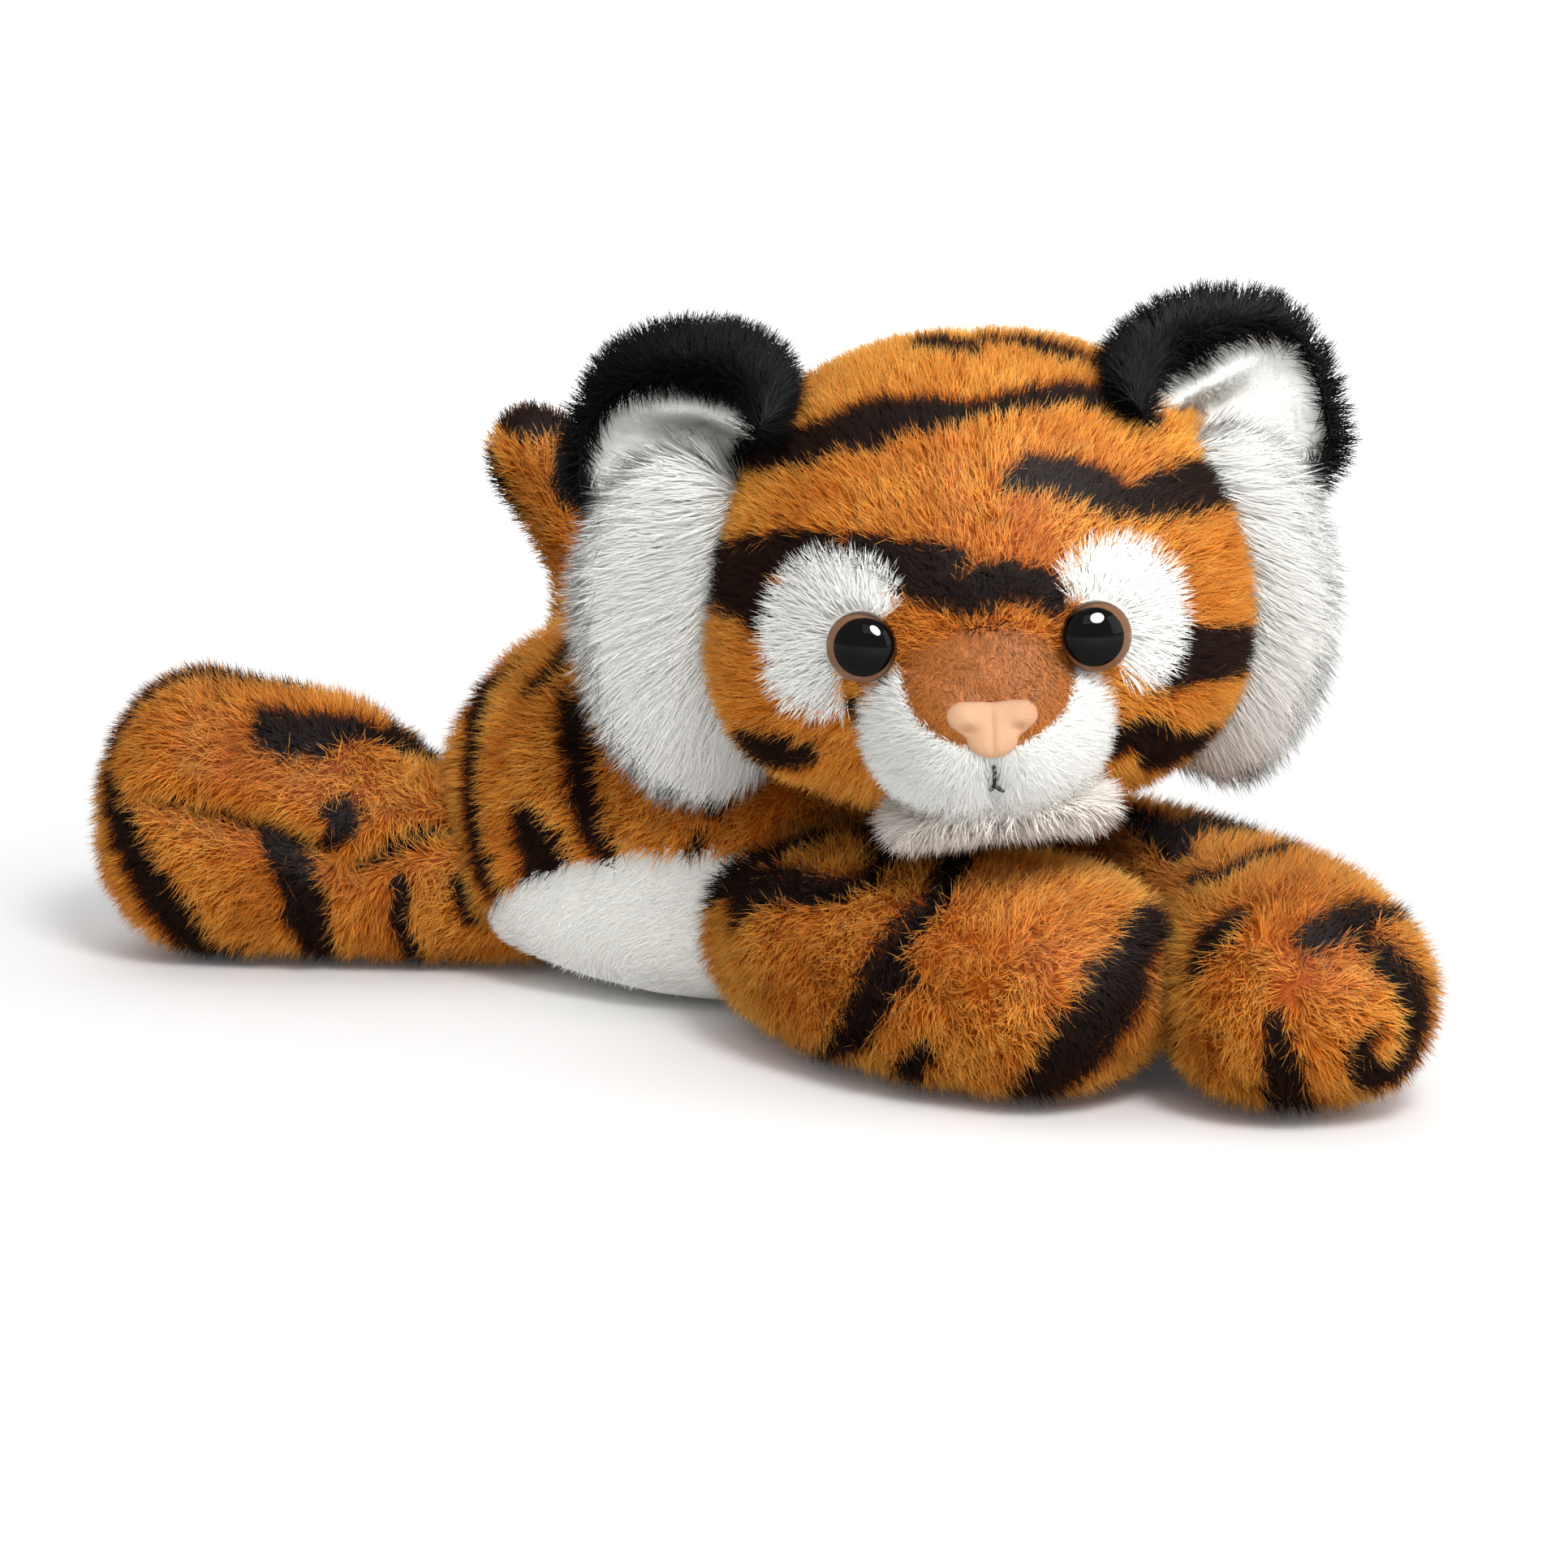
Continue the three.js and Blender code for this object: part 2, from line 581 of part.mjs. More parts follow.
// The mouth: a short thread down the muzzle that forks in two.
function mouthStitch() {
  const onMuzzle = (x, z) => {
    const across = (x / MUZZLE.halfWidth) ** 2;
    const height = ((z - MUZZLE.z) / MUZZLE.halfHeight) ** 2;
    const reach = (MUZZLE.halfDepth + SEAM_GAP + STITCH.radius) * Math.sqrt(1 - across - height);
    return new THREE.Vector3(x, MUZZLE.y - reach, z);
  };
  const { z, stem, forkAcross, forkDown, radius } = STITCH;
  const thread = (from, to) => {
    const round = new THREE.Shape().absarc(0, 0, radius, 0, 2 * Math.PI);
    const extrudePath = new THREE.LineCurve3(onMuzzle(...from), onMuzzle(...to));
    return solid(onFace(new THREE.ExtrudeGeometry(round, { extrudePath, steps: 1, curveSegments: 4 })));
  };
  const fork = [0, z - stem];
  return joined([
    thread([0, z], [0, z - stem - radius / 2]),
    thread([forkAcross, z - stem - forkDown], fork),
    thread([-forkAcross, z - stem - forkDown], fork),
  ]);
}

function addMuzzle(headRoom, eyes) {
  const muzzle = solid(onFace(pad(MUZZLE, 0, 0)));
  const muzzleRoom = solid(onFace(pad(MUZZLE, 0, SEAM_GAP)));
  const bridgeRoom = solid(onFace(pad(BRIDGE, 0, SEAM_GAP)));
  const bridge = solid(onFace(pad(BRIDGE, 0, 0)));
  const chin = solid(onFace(pad(CHIN, 0, 0)));
  add("muzzle", muzzle.subtract(headRoom).subtract(eyes), WHITE);
  add("nose_bridge", bridge.subtract(headRoom).subtract(muzzleRoom).subtract(eyes), BROWN);
  add("chin_tuft", chin.subtract(headRoom).subtract(muzzleRoom), WHITE);
  add("nose", solid(noseForm()).subtract(muzzleRoom).subtract(bridgeRoom), PINK);
  add("mouth_stitch", mouthStitch().subtract(muzzleRoom), BLACK);
}

// The round way through which the head's stuffing is pushed in, hidden against the torso.
function neckOpening() {
  const { radius, lean } = NECK_OPENING;
  return new THREE.CylinderGeometry(radius, radius, FAR / 2, 24)
    .translate(0, FAR / 4, 0)
    .rotateX(THREE.MathUtils.degToRad(lean) - Math.PI / 2)
    .translate(HEAD.x, HEAD.y, HEAD.z);
}

function addHead() {
  const headRoom = solid(headForm(SEAM_GAP));
  const eyes = eyeRoom();
  const neckPivot = new THREE.Vector3(HEAD.x, HEAD.y, 0);
  const torso = swept(lyingForm(TORSO, -SEAM_GAP), neckPivot, UP.clone().negate(), NECK_SWING);
  const shell = solid(headForm(0)).subtract(solid(headForm(-HEAD_SKIN))).subtract(eyes);
  const patches = (grow) => joined([-1, 1].map((side) => solid(patchPrism(side, grow))));
  add("head_skin", shell.subtract(solid(neckOpening())).subtract(patches(SEAM_GAP)), ORANGE);
  add("head_stuffing", solid(headForm(-HEAD_SKIN - SEAM_GAP)).subtract(eyes), WADDING);
  for (const [side, name] of [[-1, "right"], [1, "left"]]) {
    add("eye_patch_" + name, shell.intersect(solid(patchPrism(side, 0))), WHITE);
    addEye(side, name);
    const ear = addEar(side, name);
    const ruff = solid(onFace(pad(RUFF, side * RUFF.x + SIDE_SHIFT, 0)));
    add("cheek_ruff_" + name, ruff.subtract(headRoom).subtract(ear).subtract(torso), WHITE);
  }
  addMuzzle(headRoom, eyes);
}

addTorso();
for (const limb of LIMBS) addLimb(limb);
addTail();
addHead();

export default toy;
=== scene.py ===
import math

import bpy
import numpy as np
from mathutils import Matrix, Vector
from mathutils.bvhtree import BVHTree


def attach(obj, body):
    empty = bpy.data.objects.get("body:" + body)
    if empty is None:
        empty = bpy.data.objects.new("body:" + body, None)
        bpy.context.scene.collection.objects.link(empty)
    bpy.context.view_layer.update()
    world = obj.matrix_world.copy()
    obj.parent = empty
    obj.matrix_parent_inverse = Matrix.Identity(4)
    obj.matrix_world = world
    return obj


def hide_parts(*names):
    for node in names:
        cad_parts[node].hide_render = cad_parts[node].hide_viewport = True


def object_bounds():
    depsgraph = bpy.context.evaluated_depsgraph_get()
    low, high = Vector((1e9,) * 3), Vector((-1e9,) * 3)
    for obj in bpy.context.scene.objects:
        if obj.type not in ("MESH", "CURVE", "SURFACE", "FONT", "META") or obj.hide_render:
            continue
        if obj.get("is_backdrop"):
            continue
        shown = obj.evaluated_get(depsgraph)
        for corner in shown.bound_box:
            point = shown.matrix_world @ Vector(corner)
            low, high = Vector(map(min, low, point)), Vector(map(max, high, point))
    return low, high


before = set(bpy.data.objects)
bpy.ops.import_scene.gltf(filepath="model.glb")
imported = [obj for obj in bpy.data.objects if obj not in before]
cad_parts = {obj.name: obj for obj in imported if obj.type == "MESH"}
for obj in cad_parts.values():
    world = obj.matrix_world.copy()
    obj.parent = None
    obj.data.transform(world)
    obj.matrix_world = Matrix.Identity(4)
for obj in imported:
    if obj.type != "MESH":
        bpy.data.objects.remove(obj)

cad_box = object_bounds()

# The view: the photograph was taken from the toy's right front, a little above it.
# Places on it are in its own pixels, from its top left corner, and show where stripes and creases run.
MM = 0.001
PHOTO_SIDE = 1932
VIEW_AZIMUTH = math.radians(-40)
VIEW_ELEVATION = math.radians(12)
VIEW_DISTANCE = 1200 * MM
VIEW_TARGET = np.array([-17.2, -30.0, 47.5]) * MM
PIXEL_ON_TOY = 0.171 * MM

view_back = np.array([
    math.sin(VIEW_AZIMUTH) * math.cos(VIEW_ELEVATION),
    -math.cos(VIEW_AZIMUTH) * math.cos(VIEW_ELEVATION),
    math.sin(VIEW_ELEVATION),
])
view_right = np.array([math.cos(VIEW_AZIMUTH), math.sin(VIEW_AZIMUTH), 0.0])
view_up = np.cross(view_back, view_right)
view_point = VIEW_TARGET + VIEW_DISTANCE * view_back

lens = bpy.data.cameras.new("view")
lens.sensor_width = 36.0
lens.lens = lens.sensor_width * VIEW_DISTANCE / (PIXEL_ON_TOY * PHOTO_SIDE)
camera = bpy.data.objects.new("view", lens)
camera.matrix_world = Matrix.Translation(view_point) @ Matrix(
    np.stack([view_right, view_up, view_back], axis=1)
).to_4x4()
bpy.context.scene.collection.objects.link(camera)
bpy.context.scene.camera = camera


def photo_ray(x, y):
    """The direction from the view point through a pixel of the photograph."""
    focal = VIEW_DISTANCE / PIXEL_ON_TOY
    across = (x - PHOTO_SIDE / 2) / focal
    above = (PHOTO_SIDE / 2 - y) / focal
    return across * view_right + above * view_up - view_back


# The torso: a long soft sack of striped orange pile over the back, with a short white pile
# panel under the chest and belly, stuffed with fibre above a bag of pellets. Two covers are
# sewn edge to edge and turned, so no seam allowance shows.
TORSO_STATIONS = [  # x, y, width and height, from the chest to the rump
    (0, -42, 86, 67),
    (0, -12, 110, 78),
    (0, 16, 122, 79),
    (0, 38, 107, 77),
]
TORSO_ROOT, TORSO_TIP = 20, 25
BODY_PILE = 6.4  # hair length
HAIR_FACES, PIECE_FACES = 3, 190000  # triangles of one hair, and the most in one piece of pile
BODY_INSET = 3.6  # backing cloth below the tips of the lying hairs
TORSO_SETTLE, LIMB_SETTLE = 0.55, 0.8  # squares the lower half of a form, as stuffing settles
FLAT_CUT = 0.5  # how far a form would reach below the floor, if it weren't flattened there
FLOOR_CLEAR = 0.25
BELLY = dict(y=-42, length=82, height=41, reach=130)
BELLY_PILE = 3.2
# The pile's root colours are darker than its tips: partly the pile's own deeper colour, partly painted shade
# between the hairs. The stripes' brown tips are partly painted highlight.
PILE_ROOT_AND_SHADE, PILE_MIDDLE, PILE_TIP = "#743107", "#e67f19", "#ffc460"
PILE_RUST = "#bd5a0e"
STRIPE_ROOT_AND_SHADE, STRIPE_TIP_AND_HIGHLIGHT = "#090403", "#2b180f"
CREAM = "#fef4e9"
STRIPE_SPREAD = 1.25  # the tips carry a stripe past its printed roots
WHITE_ROOT, WHITE_TIP = "#f6f5ef", "#fffffa"


def smooth(x, low, high):
    """0 below low, 1 above high, and a cubic step between."""
    t = np.clip((x - low) / (high - low), 0, 1)
    return t * t * (3 - 2 * t)


def hashed(cells):
    """A large whole number for each cell of a grid, from its three indexes times primes."""
    mixed = cells[:, 0] * 73856093 ^ cells[:, 1] * 19349663 ^ cells[:, 2] * 83492791
    return (mixed ^ (mixed >> 13)) * 1274126177


def lattice_noise(points, size, seed):
    """Smooth noise from -1 to 1: hashed values at the corners of a grid of cells, blended between them."""
    place = points / size + seed * 17.31
    cell = np.floor(place).astype(np.int64)
    part = place - cell
    part = part * part * (3 - 2 * part)
    total = np.zeros(len(points))
    for corner in np.ndindex(2, 2, 2):
        mixed = hashed(cell + corner)
        value = ((mixed ^ (mixed >> 16)) & 0xFFFF) / 32767.5 - 1
        total += value * np.prod(np.where(corner, part, 1 - part), axis=1)
    return total


def drift(points, size, seed):
    """A smooth field of vectors: one noise for each axis."""
    return np.stack([lattice_noise(points, size, seed + axis) for axis in (0, 1, 2)], axis=1)


def unit(vectors):
    """Vectors over their own lengths."""
    return vectors / np.maximum(np.linalg.norm(vectors, axis=-1, keepdims=True), 1e-12)


def through(points, t):
    """A Catmull-Rom curve through points, at t from 0 to 1, run on straight past its ends."""
    points = np.asarray(points, float)
    spans = len(points) - 1
    ends = np.vstack([2 * points[0] - points[1], points, 2 * points[-1] - points[-2]])
    place = np.clip(t, 0, 1) * spans
    i = np.minimum(place.astype(int), spans - 1)
    f = (place - i)[:, None]
    a, b, c, d = ends[i], ends[i + 1], ends[i + 2], ends[i + 3]
    return 0.5 * (2 * b + (c - a) * f + (2 * a - 5 * b + 4 * c - d) * f**2 + (3 * b - a - 3 * c + d) * f**3)


def course(points, t):
    """The unit direction of a curve at t, from the places a little before and after it."""
    step = 1e-3
    return unit(through(points, np.minimum(t + step, 1)) - through(points, np.maximum(t - step, 0)))


def capped(rows, cap_rows, root, tip):
    """Stations of a form with rounded ends: where each lies along the curve, how far past the curve's end,
    by the cap's length times a cosine, and its size there, by the sine."""
    cap = np.linspace(0, math.pi / 2, cap_rows + 2)[1:-1]
    body = np.linspace(0, 1, rows)
    t = np.concatenate([0 * cap, body, 1 + 0 * cap])
    ahead = np.concatenate([-root * np.cos(cap), 0 * body, tip * np.cos(cap[::-1])])
    shrink = np.concatenate([np.sin(cap), 1 + 0 * body, np.sin(cap[::-1])])
    return t, ahead, shrink


def lying_form(stations, root, tip, inset, settle, rows, columns):
    """A stuffed form on the floor: upright ovals along a curve on the floor, closed by half ovals
    of length root and tip. Below its middle an oval is squared. Returns its rings and two end points."""
    stations = np.asarray(stations, float)
    t, ahead, shrink = capped(rows, rows // 5, root - inset, tip - inset)
    place, heading = through(stations, t), course(stations, t)
    heading = unit(np.concatenate([heading[:, :2], 0 * heading[:, :1]], axis=1))
    middle = np.concatenate([place[:, :2], place[:, 3:] / 2 - FLAT_CUT], axis=1)
    across = np.stack([-heading[:, 1], heading[:, 0], 0 * t], axis=1)
    angle = np.linspace(0, 2 * math.pi, columns, endpoint=False)
    power = np.where(np.sin(angle) < 0, settle, 1)
    side = np.sign(np.cos(angle)) * np.abs(np.cos(angle)) ** power
    rise = np.sign(np.sin(angle)) * np.abs(np.sin(angle)) ** power
    half = (place[:, 2:] / 2 - inset) * shrink[:, None]
    centre = middle + heading * ahead[:, None]
    rings = centre[:, None, :] + across[:, None, :] * (half[:, :1] * side)[..., None]
    rings[..., 2] += half[:, 1:] * rise
    first = middle[0] - heading[0] * (root - inset)
    last = middle[-1] + heading[-1] * (tip - inset)
    return rings * MM, first * MM, last * MM


def mesh_object(name, points, corners, sides, attributes=None, bake_map=None):
    """An object from points and from polygons that all have the same number of sides in turn."""
    mesh = bpy.data.meshes.new(name)
    mesh.vertices.add(len(points))
    mesh.vertices.foreach_set("co", np.ascontiguousarray(points, np.float32).ravel())
    mesh.loops.add(len(corners))
    mesh.loops.foreach_set("vertex_index", np.ascontiguousarray(corners, np.int32))
    starts = np.concatenate([[0], np.cumsum(sides)[:-1]]).astype(np.int32)
    mesh.polygons.add(len(sides))
    mesh.polygons.foreach_set("loop_start", starts)
    mesh.update(calc_edges=True)
    mesh.polygons.foreach_set("use_smooth", np.ones(len(sides), bool))
    for key, values in (attributes or {}).items():
        mesh.attributes.new(key, "FLOAT", "POINT").data.foreach_set("value", values.astype(np.float32))
    if bake_map is not None:
        mesh.uv_layers.new(name="OFBake").data.foreach_set("uv", bake_map.astype(np.float32).ravel())
    made = bpy.data.objects.new(name, mesh)
    bpy.context.scene.collection.objects.link(made)
    return made


def closed_skin(name, rings, first, last):
    """A closed skin over rings of points, with a fan of triangles to a point at each end."""
    rows, columns = rings.shape[:2]
    points = np.vstack([first, rings.reshape(-1, 3), last])
    ring = 1 + np.arange(rows)[:, None] * columns + np.arange(columns)
    onward = np.roll(ring, -1, axis=1)
    bands = np.stack([ring[:-1], onward[:-1], onward[1:], ring[1:]], axis=-1).reshape(-1, 4)
    start = np.stack([np.zeros(columns, int), onward[0], ring[0]], axis=-1)
    end = np.stack([np.full(columns, len(points) - 1), ring[-1], onward[-1]], axis=-1)
    corners = np.concatenate([bands.ravel(), start.ravel(), end.ravel()])
    sides = np.concatenate([np.full(len(bands), 4), np.full(2 * columns, 3)])
    made = mesh_object(name, points, corners, sides)
    if skin_volume(made) < 0:
        made.data.flip_normals()
    return made


def skin_volume(skin):
    """Six times the volume inside a skin: the sum of its triangles' triple products."""
    points, _, triangles = skin_arrays(skin)
    a, b, c = (points[triangles[:, i]] for i in (0, 1, 2))
    return np.einsum("ij,ij->", a, np.cross(b, c))


def skin_arrays(skin):
    """A skin's points, its smooth normals and its triangles."""
    mesh = skin.data
    mesh.calc_loop_triangles()
    points = np.empty((len(mesh.vertices), 3), np.float32)
    mesh.vertices.foreach_get("co", points.ravel())
    normals = np.empty((len(mesh.vertices), 3), np.float32)
    mesh.vertex_normals.foreach_get("vector", normals.ravel())
    triangles = np.empty((len(mesh.loop_triangles), 3), np.int32)
    mesh.loop_triangles.foreach_get("vertices", triangles.ravel())
    return points.astype(float), normals.astype(float), triangles


def push(skin, height):
    """Moves each point of a skin along its normal by height(points, normals), and never below the floor."""
    points, normals, _ = skin_arrays(skin)
    points = points + normals * height(points, normals)[:, None]
    points[:, 2] = np.maximum(points[:, 2], FLOOR_CLEAR * MM)
    skin.data.vertices.foreach_set("co", points.astype(np.float32).ravel())
    skin.data.update()


def give(skin, **attributes):
    """Writes a number for all points of a skin, or one for each, under each of these names."""
    for key, values in attributes.items():
        found = skin.data.attributes.get(key) or skin.data.attributes.new(key, "FLOAT", "POINT")
        found.data.foreach_set("value", np.broadcast_to(values, len(found.data)).astype(np.float32))


def photo_lines(skin, strokes, steps=7, spread=1.0):
    """Strokes of (x, y, half width) in the photograph's pixels, as points on the skin with half widths
    in metres times spread: a smooth curve through each stroke is cast onto the skin from the view point."""
    tree = BVHTree.FromObject(skin, bpy.context.evaluated_depsgraph_get())
    middle = Vector(skin_arrays(skin)[0].mean(0))
    found = []
    for stroke in strokes.values():
        for x, y, half in through(stroke, np.linspace(0, 1, steps * (len(stroke) - 1) + 1)):
            way = Vector(photo_ray(x, y)).normalized()
            spot = tree.ray_cast(Vector(view_point), way)[0]
            if spot is None:
                nearest = Vector(view_point) + way * (middle - Vector(view_point)).dot(way)
                spot = tree.find_nearest(nearest)[0]
            found.append((*spot, half * spread * PIXEL_ON_TOY))
    return np.array(found)


def in_strokes(points, lines, ragged=0.25, soft=0.22):
    """1 inside strokes and 0 outside: the distance to the nearest stroke point over its half width, with a
    ragged edge. The points are compared in batches, to spare memory."""
    batch = 8192
    least = np.full(len(points), 1e9)
    for start in range(0, len(points), batch):
        part = points[start:start + batch]
        square = (part**2).sum(1)[:, None] - 2 * part @ lines[:, :3].T + (lines[:, :3] ** 2).sum(1)
        least[start:start + batch] = (np.maximum(square, 0) / lines[:, 3] ** 2).min(1)
    edge = np.sqrt(least) + ragged * lattice_noise(points, 4 * MM, 3)
    edge += 0.6 * ragged * lattice_noise(points, 1.6 * MM, 4)
    return 1 - smooth(edge, 1 - soft, 1.35 + soft)


def seen_share(points, normals):
    """1 where a surface faces the view point, 0 where it faces away and the photograph shows nothing."""
    return smooth((unit(view_point - points) * normals).sum(1), -0.25, 0.0)


def roots_on(skin, per_mm2, seed, keep=None, cloth=None):
    """Places for hairs, spread evenly over a skin's area: points and normals. keep(points, normals) is the
    share that stays, and cloth is the one of the skin's materials that hairs stand on."""
    points, normals, triangles = skin_arrays(skin)
    if cloth is not None:
        finish = np.empty(len(skin.data.polygons), np.int32)
        skin.data.polygons.foreach_get("material_index", finish)
        owner = np.empty(len(triangles), np.int32)
        skin.data.loop_triangles.foreach_get("polygon_index", owner)
        triangles = triangles[finish[owner] == cloth]
    a, b, c = (points[triangles[:, i]] for i in (0, 1, 2))
    area = np.linalg.norm(np.cross(b - a, c - a), axis=1) / 2
    total = np.cumsum(area)
    rng = np.random.default_rng(seed)
    count = int(total[-1] / MM**2 * per_mm2)
    chosen = np.searchsorted(total, (np.arange(count) + rng.random(count)) / count * total[-1] * 0.999999)
    u, v = rng.random(count), rng.random(count)
    u, v = np.where(u + v > 1, 1 - u, u)[:, None], np.where(u + v > 1, 1 - v, v)[:, None]
    corners = triangles[chosen]
    shares = (1 - u - v, u, v)
    place = sum(share * points[corners[:, i]] for i, share in enumerate(shares))
    normal = unit(sum(share * normals[corners[:, i]] for i, share in enumerate(shares)))
    if keep is not None:
        kept = rng.random(count) < keep(place, normal)
        place, normal = place[kept], normal[kept]
    return place, normal, rng


def along_skin(way, normal):
    """The direction of way's part that lies along a skin: way less its part along the normal."""
    return unit(way - normal * (way * normal).sum(1, keepdims=True))


def hairs(name, place, normal, way, rng, length, width, lift,
          droop=0.0, clump=2.6, soft=0.65, mess=1.0, tufted=1.0, values=None):
    """Hairs as slim three-sided spikes that stand on a skin, with one side turned outwards. A hair leaves
    its root at the angle lift above the skin, along way. With a droop it bends half way up and its outer
    half leans down by that angle. Hairs with roots in one cell of clump millimetres lean the same way and
    have about the same tone, as tufts of pile do; tufted is how much, and mess is how far they stray.
    A spike's shading normals lie between its sides and the skin's normal, by the share soft. Real fibres
    are a tenth as wide: these are as coarse as they need to be to show."""
    count = len(place)
    mark = hashed(np.floor(place / (clump * MM)).astype(np.int64))
    tuft = np.stack([((mark >> shift) & 0xFF) / 127.5 - 1 for shift in (2, 10, 18)], axis=1)
    stray = mess * (0.42 * tufted * tuft + 0.34 * rng.standard_normal((count, 3)))
    lean = along_skin(unit(along_skin(way, normal) + stray), normal)
    up = np.radians(lift) + mess * (0.22 * rng.standard_normal(count) + 0.16 * tufted * tuft[:, 0])
    up = np.clip(up, 0.14, 1.5)[:, None]
    long = (np.broadcast_to(length, count) * MM * rng.uniform(0.78, 1.12, count))[:, None]
    thick = (np.broadcast_to(width, count) * MM * rng.uniform(0.8, 1.2, count))[:, None]
    near = unit(normal * np.sin(up) + lean * np.cos(up))
    far = unit(normal * np.sin(up - np.radians(droop)) + lean * np.cos(up - np.radians(droop)))
    root = place - normal * 0.3 * MM
    bend = droop > 0
    stations = [(root, near, thick, 0.0)]
    if bend:
        stations.append((root + near * long * 0.5, unit(near + far), thick * 0.8, 0.5))
    tip = root + near * long * 0.5 + (far if bend else near) * long * 0.5
    side = unit(np.cross(lean, normal))
    spin = (-5 * math.pi / 6 + 0.45 * rng.standard_normal(count))[:, None]
    points, shading, along = [], [], []
    for centre, line, size, share in stations:
        other = np.cross(line, side)
        for k in range(3):
            turn = spin + 2 * math.pi * k / 3
            out = side * np.cos(turn) + other * np.sin(turn)
            points.append(centre + out * size / 2)
            shading.append(unit(soft * normal + (1 - soft) * out))
            along.append(np.full(count, share))
    points.append(tip)
    shading.append(normal)
    along.append(np.ones(count))
    per_hair = len(points)
    points = np.stack(points, axis=1)
    points[..., 2] = np.maximum(points[..., 2], FLOOR_CLEAR * MM)
    shading = np.stack(shading, axis=1).reshape(-1, 3)
    along = np.stack(along, axis=1)
    last = 3 if bend else 0
    quads = [[k, (k + 1) % 3, 3 + (k + 1) % 3, 3 + k] for k in range(3)] if bend else []
    fans = [[last + k, last + (k + 1) % 3, per_hair - 1] for k in range(3)]
    pattern = np.concatenate([np.array(face) for face in quads + fans])
    corners = (np.arange(count)[:, None] * per_hair + pattern).ravel()
    sides = np.tile([4] * len(quads) + [3] * len(fans), count)
    columns = math.ceil(math.sqrt(count))
    foot = np.stack([np.arange(count) % columns, np.arange(count) // columns], axis=1)
    half = 0.5 if bend else 0.1
    spots = [[0.1, 0.1], [0.9, 0.1], [0.85, 0.5], [0.15, 0.5]] * len(quads)
    spots += [[0.15, half], [0.85, half], [0.5, 0.9]] * len(fans)
    bake_map = (foot[:, None, :] + np.array(spots)) / columns
    attributes = {"along": along.ravel()}
    for key, (at_root, at_tip) in (values or {}).items():
        attributes[key] = (at_root[:, None] + (at_tip - at_root)[:, None] * along).ravel()
    attributes["tone"] = np.repeat(0.6 * rng.random(count) + 0.2 * (tuft[:, 1] + 1), per_hair)
    made = mesh_object(name, points.reshape(-1, 3), corners, sides, attributes, bake_map)
    made.data.normals_split_custom_set_from_vertices(shading)
    return made


def linear(colour):
    """An sRGB hex colour as linear red, green, blue and 1."""
    parts = [int(colour[i:i + 2], 16) / 255 for i in (1, 3, 5)]
    return (*[p / 12.92 if p <= 0.04045 else ((p + 0.055) / 1.055) ** 2.4 for p in parts], 1.0)


def add_node(tree, kind, sockets=None, **settings):
    """Adds a node with its settings. Each socket gets a value or a link from another node's output."""
    node = tree.nodes.new(kind)
    for key, value in settings.items():
        setattr(node, key, value)
    for key, value in (sockets or {}).items():
        if isinstance(value, bpy.types.NodeSocket):
            tree.links.new(value, node.inputs[key])
        else:
            node.inputs[key].default_value = value
    return node


def new_material(name, **principled):
    """A material with one Principled BSDF, whose sockets get these values."""
    material = bpy.data.materials.new(name)
    material.use_nodes = True
    shader = material.node_tree.nodes["Principled BSDF"]
    for key, value in principled.items():
        shader.inputs[key.replace("_", " ")].default_value = value
    return material, material.node_tree, shader


def striped_pile(name):
    """Polyester pile, knitted and brushed, in orange that deepens to dark rust at the root, with black-brown
    stripes printed through it. The darkening towards each hair's root is partly painted shade between the
    hairs, and the stripes' lighter brown tips are partly painted highlight. The fibre gives a soft sheen and
    fine glints."""
    material, tree, shader = new_material(name, Roughness=0.62, Specular_IOR_Level=0.04)
    read = {key: add_node(tree, "ShaderNodeAttribute", attribute_name=key).outputs["Fac"]
            for key in ("along", "stripe", "tone", "rust")}
    place = add_node(tree, "ShaderNodeTexCoord").outputs["Object"]
    patch_grain = {"Vector": place, "Scale": 1 / (26 * MM), "Detail": 3.0}
    patch = add_node(tree, "ShaderNodeTexNoise", patch_grain).outputs[0]
    # along runs each hair from its dark root colour, partly painted shade, to its tip colour
    low = add_node(tree, "ShaderNodeMapRange", {"Value": read["along"], 2: 0.5}).outputs[0]
    high = add_node(tree, "ShaderNodeMapRange", {"Value": read["along"], 1: 0.4, 2: 0.95}).outputs[0]
    warm = add_node(tree, "ShaderNodeMapRange", {"Value": patch, 1: 0.42, 2: 0.66, 4: 0.55}).outputs[0]
    reddened = add_node(tree, "ShaderNodeMath", {0: read["rust"], 1: warm}, operation="MAXIMUM").outputs[0]
    lower = add_node(tree, "ShaderNodeMix", {0: low, 6: linear(PILE_ROOT_AND_SHADE), 7: linear(PILE_MIDDLE)},
        data_type="RGBA")
    upper = add_node(tree, "ShaderNodeMix", {0: high, 6: lower.outputs[2], 7: linear(PILE_TIP)},
        data_type="RGBA")
    orange = add_node(tree, "ShaderNodeMix", {0: reddened, 6: upper.outputs[2], 7: linear(PILE_RUST)},
        data_type="RGBA")
    dark = add_node(tree, "ShaderNodeMix", {0: read["along"], 6: linear(STRIPE_ROOT_AND_SHADE), 7: linear(STRIPE_TIP_AND_HIGHLIGHT)},
        data_type="RGBA")
    both = add_node(tree, "ShaderNodeMix", {0: read["stripe"], 6: orange.outputs[2], 7: dark.outputs[2]},
        data_type="RGBA")
    bright = add_node(tree, "ShaderNodeMapRange", {"Value": read["tone"], 3: 0.58, 4: 1.34}).outputs[0]
    shown = add_node(tree, "ShaderNodeVectorMath", {0: both.outputs[2], 3: bright}, operation="SCALE")
    tree.links.new(shown.outputs[0], shader.inputs["Base Color"])
    return material


